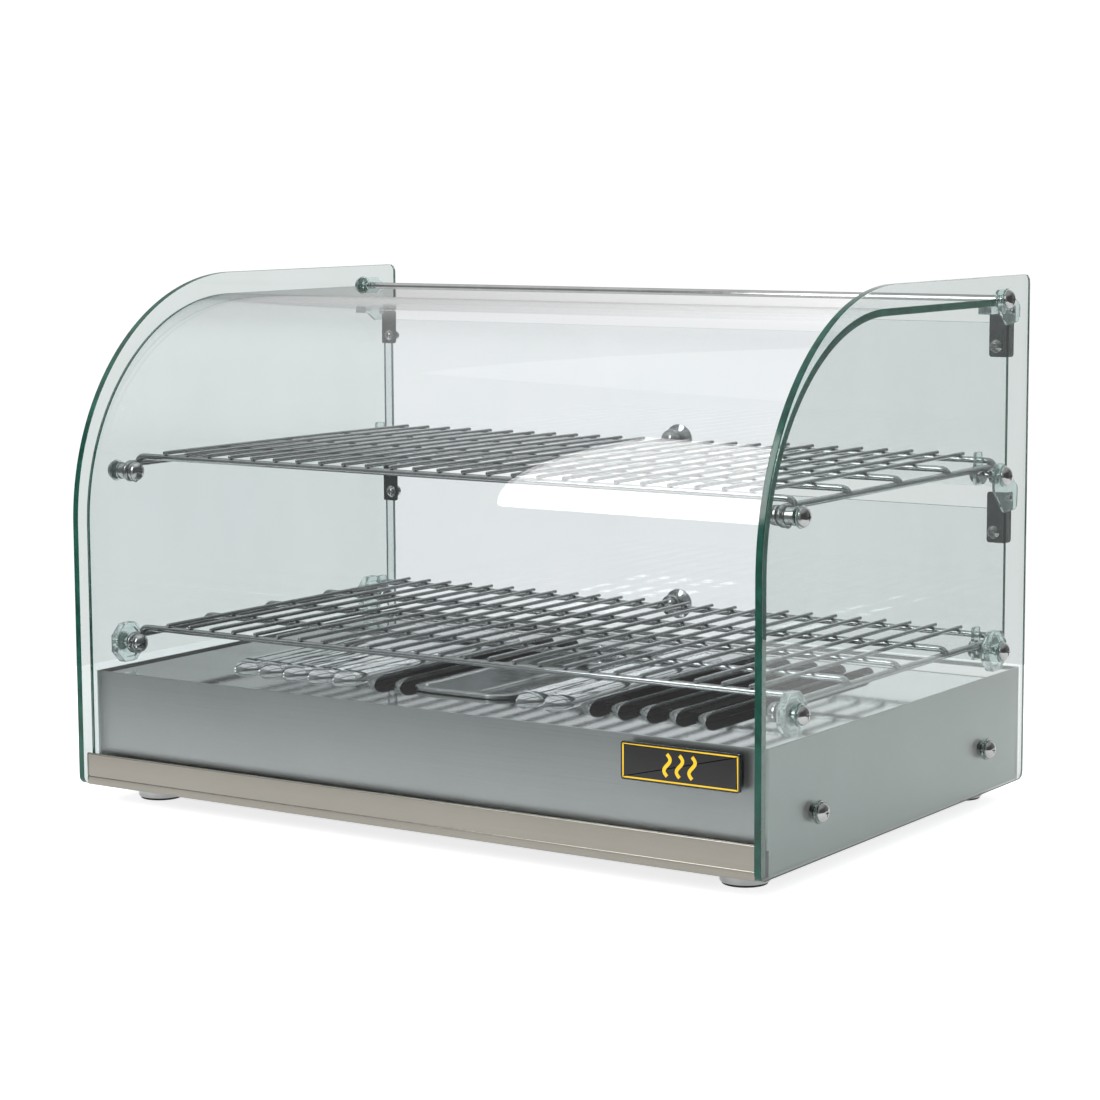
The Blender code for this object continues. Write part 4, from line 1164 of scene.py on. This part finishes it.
# %% [markdown]
# ## Wire shelves
# A shelf is welded from bright bars. Two side bars wrap round the front supports as hooks. Five
# cross bars lie on them, with their ends bent down and welded. 25 thin wires lie on the cross bars,
# their ends ground round. One bar and one wire are modelled and then copied along.

# %% Shelf bars
ROD_R, CROSS_R, WIRE_R = 2.4, 2.25, 1.45
HOOK_PLAY = 0.35
HOOK_R = GROOVE_R + HOOK_PLAY + ROD_R
SIDE_BAR_X = 262.3
CROSS_Y = [-129.5 + i * 70.5 for i in range(5)]
WIRE_COUNT, WIRE_PITCH = 25, 19.85


def side_bar(z):
    route = [(SIDE_BAR_X, y, z + HOOK_R) for y in (156.6, 90, 20, -60, -120)]
    hook = arc(FRONT_SUPPORT, z, HOOK_R, 90, 270, 20)
    route += [(SIDE_BAR_X, y, height) for y, height in hook]
    tail = [(-137.5, -0.1), (-135.6, -0.6), (-134.2, -1.5)]
    route += [(SIDE_BAR_X, y, z - HOOK_R + rise) for y, rise in tail]
    return round_edges(bent_bar("side_bar", route, ROD_R), 0.7, 3, 60)


def cross_bar(z):
    level = z + HOOK_R + ROD_R + CROSS_R - 0.25
    end = [(257.0, 0.0), (259.6, -0.15), (261.6, -0.75), (263.1, -1.9), (264.0, -3.4)]
    route = [(-x, 0, level + drop) for x, drop in reversed(end)]
    route += [(x, 0, level + drop) for x, drop in end]
    return round_edges(bent_bar("cross_bar", route, CROSS_R), 0.7, 3, 60), level


for shelf, z in SHELF_Z.items():
    right_bar = side_bar(z)
    bars = [right_bar, mirrored_copy(right_bar, "side_bar")]
    first_cross, level = cross_bar(z)
    bars += [shifted_copy(first_cross, "cross_bar", y=y) for y in CROSS_Y]
    bpy.data.objects.remove(first_cross, do_unlink=True)
    wire_z = level + CROSS_R + WIRE_R - 0.3
    front, rear = CROSS_Y[0] - 2.1, CROSS_Y[-1] + 5.5
    wire = rod("wire", "Y", (0, (front + rear) / 2, wire_z), WIRE_R, rear - front, 14)
    round_edges(wire, 0.8, 3, 60)
    first = -(WIRE_COUNT - 1) / 2 * WIRE_PITCH
    bars += [shifted_copy(wire, "wire", x=first + i * WIRE_PITCH) for i in range(WIRE_COUNT)]
    bpy.data.objects.remove(wire, do_unlink=True)
    grid = smooth(merge(f"{shelf}_wire_shelf", *bars), 40)
    hang(grid, wire_plated, f"{shelf}_rack", f"{shelf}_shelf")
    print(shelf, "shelf faces:", len(grid.data.polygons), "wire level:", round(wire_z, 1))

# %% [markdown]
# ## Badge
# The real case carries a small printed plate. This one is blank but for a plain border and three
# wavy lines for heat. The plate is a block with rounded corners whose face is inset for the border.

# %% Badge
badge_low, badge_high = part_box("badge")
bx0, bx1 = badge_low.x / MM, badge_high.x / MM
bz0, bz1 = badge_low.z / MM, badge_high.z / MM
by_face, by_back = (badge_low.y - MIDDLE_Y) / MM, (badge_high.y - MIDDLE_Y) / MM
badge = block("heat_badge", (bx0, by_face, bz0), (bx1, by_back, bz1))
edit(badge)
pick("EDGE", lambda p, d: abs(d.y) > 0.9)
bevel_picked(1.5, 5)
pick("FACE", lambda p, n: n.y < -0.9)
bpy.ops.mesh.inset(thickness=1.1 * MM, depth=0)
bpy.ops.mesh.inset(thickness=1.0 * MM, depth=0)
done()
round_edges(badge, 0.3, 3, 60)
smooth(badge)
hang(badge, badge_black, "case", "badge")
inner_x, inner_z = (bx0 + bx1) / 2, (bz0 + bz1) / 2
reach_x, reach_z = (bx1 - bx0) / 2, (bz1 - bz0) / 2


def on_border(p, n):
    from_edge = min(reach_x - abs(p.x - inner_x), reach_z - abs(p.z - inner_z))
    return n.y < -0.99 and 1.0 < from_edge < 2.2


paint(badge, badge_yellow, on_border)

# %% Heat waves
WAVE_HEIGHT, WAVE_SWAY, WAVE_PITCH, WAVE_STEPS = 14, 2.2, 9, 24
waves = []
for i in range(3):
    x0 = inner_x + (i - 1) * WAVE_PITCH
    rises = [WAVE_HEIGHT * (k / WAVE_STEPS - 0.5) for k in range(WAVE_STEPS + 1)]
    route = []
    for rise in rises:
        sway = WAVE_SWAY * math.sin(rise / WAVE_HEIGHT * math.tau)
        route.append((x0 + sway, by_face, inner_z + rise))
    wave = bent_bar("wave", route, 1.25, 3)
    edit(wave)
    bpy.ops.mesh.select_all(action="SELECT")
    bpy.ops.transform.resize(value=(1, 0.2, 1), center_override=at(x0, by_face, inner_z))
    done()
    waves.append(wave)
waves = smooth(merge("heat_waves", *waves))
hang(waves, badge_yellow, "case")
print("badge:", round(bx1 - bx0, 1), "x", round(bz1 - bz0, 1), "mm")

# %% [markdown]
# ## Controls on the rear
# The staff side has a thermostat knob with a grip ridge and a white pointer, a lamp, a rocker
# switch in its bezel, and a gland for the cord. They are the usual catalogue parts.

# %% Thermostat knob and its scale


def round_about(name, middle_x, y, reach, count, radius, length, first=0.0):
    """Small cutters in a ring round a control, to notch its edge. first is a part of a step."""
    ring = []
    for i in range(count):
        turn = math.tau * (i + first) / count
        x, z = middle_x + reach * math.cos(turn), CONTROL_Z + reach * math.sin(turn)
        ring.append(rod(name, "Y", (x, y, z), radius, length, 10))
    return ring


face = BASE_REAR + 0.4
knob_end = 199
dial_profile = [
    (knob_end, 0), (knob_end, 9.4), (knob_end - 0.4, 10.2), (knob_end - 1.2, 10.7), (face + 3, 11.6),
    (face + 2.4, 12.2), (face + 2.0, 13.6), (face + 1.4, 14), (face + 0.3, 14), (face, 13.7),
    (face, 3.4), (191.5, 3.4), (191.5, 0),
]
dial = turned("dial", "Y", (THERMOSTAT_X, 0, CONTROL_Z), dial_profile, 64)
cut(dial, *round_about("notch", THERMOSTAT_X, 196, 12.1, 24, 0.9, 9, 0.5))
round_edges(dial, 0.2, 2, 40)
ridge = block(
    "ridge",
    (THERMOSTAT_X - 1.5, knob_end - 8, CONTROL_Z + 4),
    (THERMOSTAT_X + 1.5, knob_end - 0.3, CONTROL_Z + 13),
)
round_edges(ridge, 0.6, 3)
grip = smooth(merge("thermostat_grip", dial, ridge), 40)
hang(grip, black_abs, "dial", "thermostat_knob")
pointer = block(
    "pointer_mark",
    (THERMOSTAT_X - 0.5, knob_end - 0.35, CONTROL_Z + 4.6),
    (THERMOSTAT_X + 0.5, knob_end - 0.15, CONTROL_Z + 12.4),
)
round_edges(pointer, 0.08, 2)
hang(smooth(pointer), white_mark, "dial")
SCALE_R = 17.2
marks = []
for i in range(10):
    turn = math.radians(90 - 30 * i)
    for reach in (SCALE_R, SCALE_R + (1.6 if i % 3 == 0 else 0.7)):
        x, z = THERMOSTAT_X + reach * math.cos(turn), CONTROL_Z + reach * math.sin(turn)
        marks.append(rod("mark", "Y", (x, BASE_REAR + 0.05, z), 0.7, 0.16, 12))
hang(smooth(merge("dial_scale", *marks)), black_abs, "case")
print("marks on the scale:", len(marks) // 2)

# %% Lamp, switch and gland
lens_profile = [
    (BASE_REAR + 5.1, 0), (BASE_REAR + 4.9, 1.8), (BASE_REAR + 4.3, 3.4), (BASE_REAR + 3.2, 4.5),
    (BASE_REAR + 2.0, 5.0), (BASE_REAR + 1.5, 5.1), (166, 4.8), (166, 0),
]
ring_profile = [
    (BASE_REAR + 1.8, 5.2), (BASE_REAR + 1.7, 6.3), (BASE_REAR + 1.2, 6.8), (BASE_REAR + 0.3, 6.8),
    (BASE_REAR + 0.3, 5.2), (BASE_REAR + 1.8, 5.2),
]
lens = smooth(turned("lamp_lens", "Y", (LAMP_X, 0, CONTROL_Z), lens_profile))
hang(lens, red_lens, "case", "indicator_lamp")
ring = smooth(turned("lamp_ring", "Y", (LAMP_X, 0, CONTROL_Z), ring_profile))
hang(ring, plated, "case")
bezel = softened("switch_body", "rocker_bezel", 0.6, 3)
hang(bezel, black_abs, "case", "switch_body")
rocker = softened("switch_rocker", "rocker_key", 0.5, 3, 20)
hang(rocker, red_rocker, "rocker", "switch_rocker")
gland_profile = [
    (BASE_REAR + 9.3, 3.6), (BASE_REAR + 9.3, 5.8), (BASE_REAR + 8.6, 6.8), (BASE_REAR + 6.6, 8.4),
    (BASE_REAR + 6.2, 9.0), (BASE_REAR + 1.0, 9.4), (BASE_REAR + 0.3, 9.4), (BASE_REAR + 0.3, 6.7),
    (BASE_REAR - 1.8, 6.7), (BASE_REAR - 1.8, 9.5), (BASE_REAR - 6.8, 9.5), (BASE_REAR - 6.8, 6.7),
    (BASE_REAR - 10.8, 6.7), (BASE_REAR - 10.8, 3.6), (BASE_REAR + 9.3, 3.6),
]
gland = turned("lead_gland", "Y", (GLAND_X, 0, CONTROL_Z), gland_profile, 48)
cut(gland, *round_about("flute", GLAND_X, BASE_REAR + 3.4, 9.6, 16, 0.8, 4.4))
round_edges(gland, 0.15, 2, 45)
hang(smooth(gland, 40), black_nylon, "case", "cord_gland")
print("controls at height", CONTROL_Z, "mm")

# %% [markdown]
# ## Inside the base
# The heating elements are sheathed hairpins, bent from tube. The bracket, thermostat and terminal
# block are plain stock parts, so softened copies of the CAD shapes are enough.

# %% Heating elements and fittings
ELEMENT_Z, LEG_IN, LEG_OUT = 60, 95, 185
BEND_Y, LEG_END_Y = -70, 140
bend = arc((LEG_IN + LEG_OUT) / 2, BEND_Y, (LEG_OUT - LEG_IN) / 2, 180, 360, 32)
hairpin = [(LEG_IN, LEG_END_Y)] + bend + [(LEG_OUT, LEG_END_Y)]
element = bent_bar("element", [(x, y, ELEMENT_Z) for x, y in hairpin], 4)
round_edges(element, 0.8, 3, 60)
smooth(element, 40)
node = "heating_element_{}"
both_sides(element, "{}_hairpin_element", heater_sheath, "case", node)
strip = softened("element_bracket", "element_strip", 0.25)
# The element strip takes the same dark steel, painted shade inside the base.
hang(strip, interior_painted_shade_steel, "case", "element_bracket")
insulators = {"thermostat_body": ("thermostat_case", 0.8, 3), "terminal_block": ("terminal_strip", 0.6, 2)}
for node, (name, width, segments) in insulators.items():
    hang(softened(node, name, width, segments), white_melamine, "case", node)
shown = [o for o in bpy.data.objects if o.type == "MESH" and not o.hide_render]
print("pieces:", len(shown), "faces:", sum(len(o.data.polygons) for o in shown))

# %% [markdown]
# ## Floor
# A pale sheet of paper, as under a product in a studio. Straight to the camera it is nearly white.
# In bright metal a white floor with a sharp front edge would show as a stripe, so what a mirrored
# ray meets is dimmer and fades, towards the front, into the level of the dim room past the paper.

# %% Floor
PAPER_FRONT, PAPER_FULL = -0.72, -0.28
SEEN_STRAIGHT, SEEN_THROUGH_GLASS, MIRRORED, ROOM_LEVEL = 0.75, 0.25, 0.55, 0.3
bpy.ops.object.select_all(action="DESELECT")
bpy.ops.mesh.primitive_plane_add(size=1, location=(0.1, -0.02, 0))
bpy.context.object.scale = (1.56, 1.44, 1)
floor = take("floor")
floor_paint, floor_tree, floor_shader = new_material("pale_backdrop_paper")
speck = grain(floor_tree, (30, 30, 30), detail=2.0)
pale = blend_colours(floor_tree, spread(floor_tree, speck, 0, 1), "#DEDEDE", "#DADADA")
where = add_node(floor_tree, "TexCoord").outputs["Object"]
depth = add_node(floor_tree, "SeparateXYZ", None, {0: where}).outputs["Y"]
fade_settings = {"interpolation_type": "SMOOTHSTEP", 1: PAPER_FRONT, 2: PAPER_FULL}
fade = add_node(floor_tree, "MapRange", fade_settings, {0: depth}).outputs[0]
floor_path = add_node(floor_tree, "LightPath").outputs
mirror_count = floor_path["Glossy Depth"]
unmirrored = add_node(floor_tree, "MapRange", {3: 1, 4: 0}, {0: mirror_count}).outputs[0]
shown = add_node(floor_tree, "Math", {"operation": "MAXIMUM"}, {0: fade, 1: unmirrored}).outputs[0]
to_black = {"data_type": "RGBA", 6: (0, 0, 0, 1)}
colour = add_node(floor_tree, "Mix", to_black, {0: shown, 7: pale}).outputs[2]
floor_tree.links.new(colour, floor_shader.inputs["Base Color"])
levels = {3: SEEN_THROUGH_GLASS, 4: MIRRORED}
not_straight = add_node(floor_tree, "MapRange", levels, {0: mirror_count}).outputs[0]
straight = {"data_type": "FLOAT", 3: SEEN_STRAIGHT}
paper_links = {0: floor_path["Is Camera Ray"], 2: not_straight}
paper = add_node(floor_tree, "Mix", straight, paper_links).outputs[0]
to_room = {"data_type": "FLOAT", 2: ROOM_LEVEL}
glow_level = add_node(floor_tree, "Mix", to_room, {0: shown, 3: paper}).outputs[0]
floor_tree.links.new(glow_level, floor_shader.inputs["Emission Strength"])
floor_shader.inputs["Emission Color"].default_value = (1, 1, 1, 1)
floor_shader.inputs["Roughness"].default_value = 0.7
floor_shader.inputs["Specular IOR Level"].default_value = 0.2
floor.data.materials.append(floor_paint)
print("floor:", [round(side, 2) for side in floor.dimensions], "m")

# %% [markdown]
# ## Surroundings and lamps
# Bright metal and glass show only what is round them, so the room is drawn as levels of grey by
# direction: pale behind the case, dim on the viewer's side, dimmer to the far left and to the
# right, and half dark overhead. A soft glow high at the left lies on the bend of the glass. Only
# mirrored rays meet this room. The camera and rays through glass meet an even white one. A big soft
# box overhead gives the shadows, and a tall one at the front left is itself mirrored in the bend.

# %% Surroundings
OVERHEAD_LEVEL, THROUGH_GLASS_LEVEL, CAMERA_LEVEL = 0.45, 0.97, 1.05
away_from_viewer = {"operation": "DOT_PRODUCT", 1: (-0.556, 0.831, 0.0)}
towards_glow = {"operation": "DOT_PRODUCT", 1: (-0.66, -0.1, 0.745)}
world = bpy.data.worlds.new("studio")
bpy.context.scene.world = world
world.use_nodes = True
sky = world.node_tree
direction = add_node(sky, "TexCoord").outputs["Generated"]
axes = add_node(sky, "SeparateXYZ", None, {0: direction}).outputs
away = add_node(sky, "VectorMath", away_from_viewer, {0: direction}).outputs["Value"]
# In each Map Range, 1 and 2 say where the change starts and ends, and 3 and 4 the levels there.
behind = add_node(sky, "MapRange", {1: -0.4, 2: 0.5, 3: 0.28, 4: 0.8}, {0: away}).outputs[0]
far_left = add_node(sky, "MapRange", {1: -0.68, 2: -0.45, 3: 0.55, 4: 1.3}, {0: axes["X"]}).outputs[0]
to_right = add_node(sky, "MapRange", {1: 0.0, 2: 0.42, 3: 1.0, 4: 0.25}, {0: axes["X"]}).outputs[0]
overhead = add_node(sky, "MapRange", {1: 0.5, 2: 0.85}, {0: axes["Z"]}).outputs[0]
left_side = add_node(sky, "Math", {"operation": "MULTIPLY"}, {0: behind, 1: far_left}).outputs[0]
room = add_node(sky, "Math", {"operation": "MULTIPLY"}, {0: left_side, 1: to_right}).outputs[0]
# In each Mix, 2 is the level where the factor is 0, and 3 where it is 1.
dark_ceiling = {"data_type": "FLOAT", 3: OVERHEAD_LEVEL}
with_ceiling = add_node(sky, "Mix", dark_ceiling, {0: overhead, 2: room}).outputs[0]
glow_angle = add_node(sky, "VectorMath", towards_glow, {0: direction}).outputs["Value"]
glow_settings = {"interpolation_type": "SMOOTHSTEP", 1: 0.8, 2: 1.0, 4: 0.45}
glow = add_node(sky, "MapRange", glow_settings, {0: glow_angle}).outputs[0]
mirrored = add_node(sky, "Math", {"operation": "ADD"}, {0: with_ceiling, 1: glow}).outputs[0]
path = add_node(sky, "LightPath").outputs
through_glass = {"data_type": "FLOAT", 2: THROUGH_GLASS_LEVEL}
indirect = add_node(sky, "Mix", through_glass, {0: path["Glossy Depth"], 3: mirrored}).outputs[0]
to_camera = {"data_type": "FLOAT", 3: CAMERA_LEVEL}
level = add_node(sky, "Mix", to_camera, {0: path["Is Camera Ray"], 2: indirect}).outputs[0]
sky.links.new(level, sky.nodes["Background"].inputs["Strength"])
sky.nodes["Background"].inputs["Color"].default_value = (1, 1, 1, 1)
print("nodes in the surroundings:", len(sky.nodes))

# %% Soft boxes


def soft_box(name, place, target, width, height, power, lean=0):
    lamp = bpy.data.lights.new(name, "AREA")
    lamp.shape = "RECTANGLE"
    lamp.size, lamp.size_y = width, height
    lamp.energy = power
    obj = bpy.data.objects.new(name, lamp)
    bpy.context.scene.collection.objects.link(obj)
    obj.location = place
    aim = (Vector(target) - Vector(place)).to_track_quat("-Z", "Y").to_matrix()
    obj.rotation_euler = (aim @ Matrix.Rotation(math.radians(lean), 3, "Z")).to_euler()
    return obj


over = soft_box("overhead", (0.1, 0.2, 2.6), (0, 0, 0.1), 3.0, 2.4, 16)
over.visible_glossy = False
soft_box("front_left", (-0.62, -1.40, 1.13), (0.1, -0.17, 0.25), 0.5, 1.05, 9, lean=8)

# %% [markdown]
# ## Camera
# The camera stands to the right of the front and a little above the case, looking slightly down
# with a long lens, so that upright edges stay nearly parallel.

# %% Camera
AZIMUTH, PITCH, ROLL = math.radians(33.788), math.radians(7.240), math.radians(-0.281)
camera_data = bpy.data.cameras.new("view")
camera_data.lens = 96.53
camera_data.sensor_width = 36
camera = bpy.data.objects.new("view", camera_data)
bpy.context.scene.collection.objects.link(camera)
camera.location = at(1141.24, -1705.90, 438.63)
turn = Matrix.Rotation(AZIMUTH, 3, "Z") @ Matrix.Rotation(math.pi / 2 - PITCH, 3, "X")
turn = turn @ Matrix.Rotation(ROLL, 3, "Z")
camera.rotation_euler = turn.to_euler()
bpy.context.scene.camera = camera
bpy.context.scene.view_settings.view_transform = "Standard"
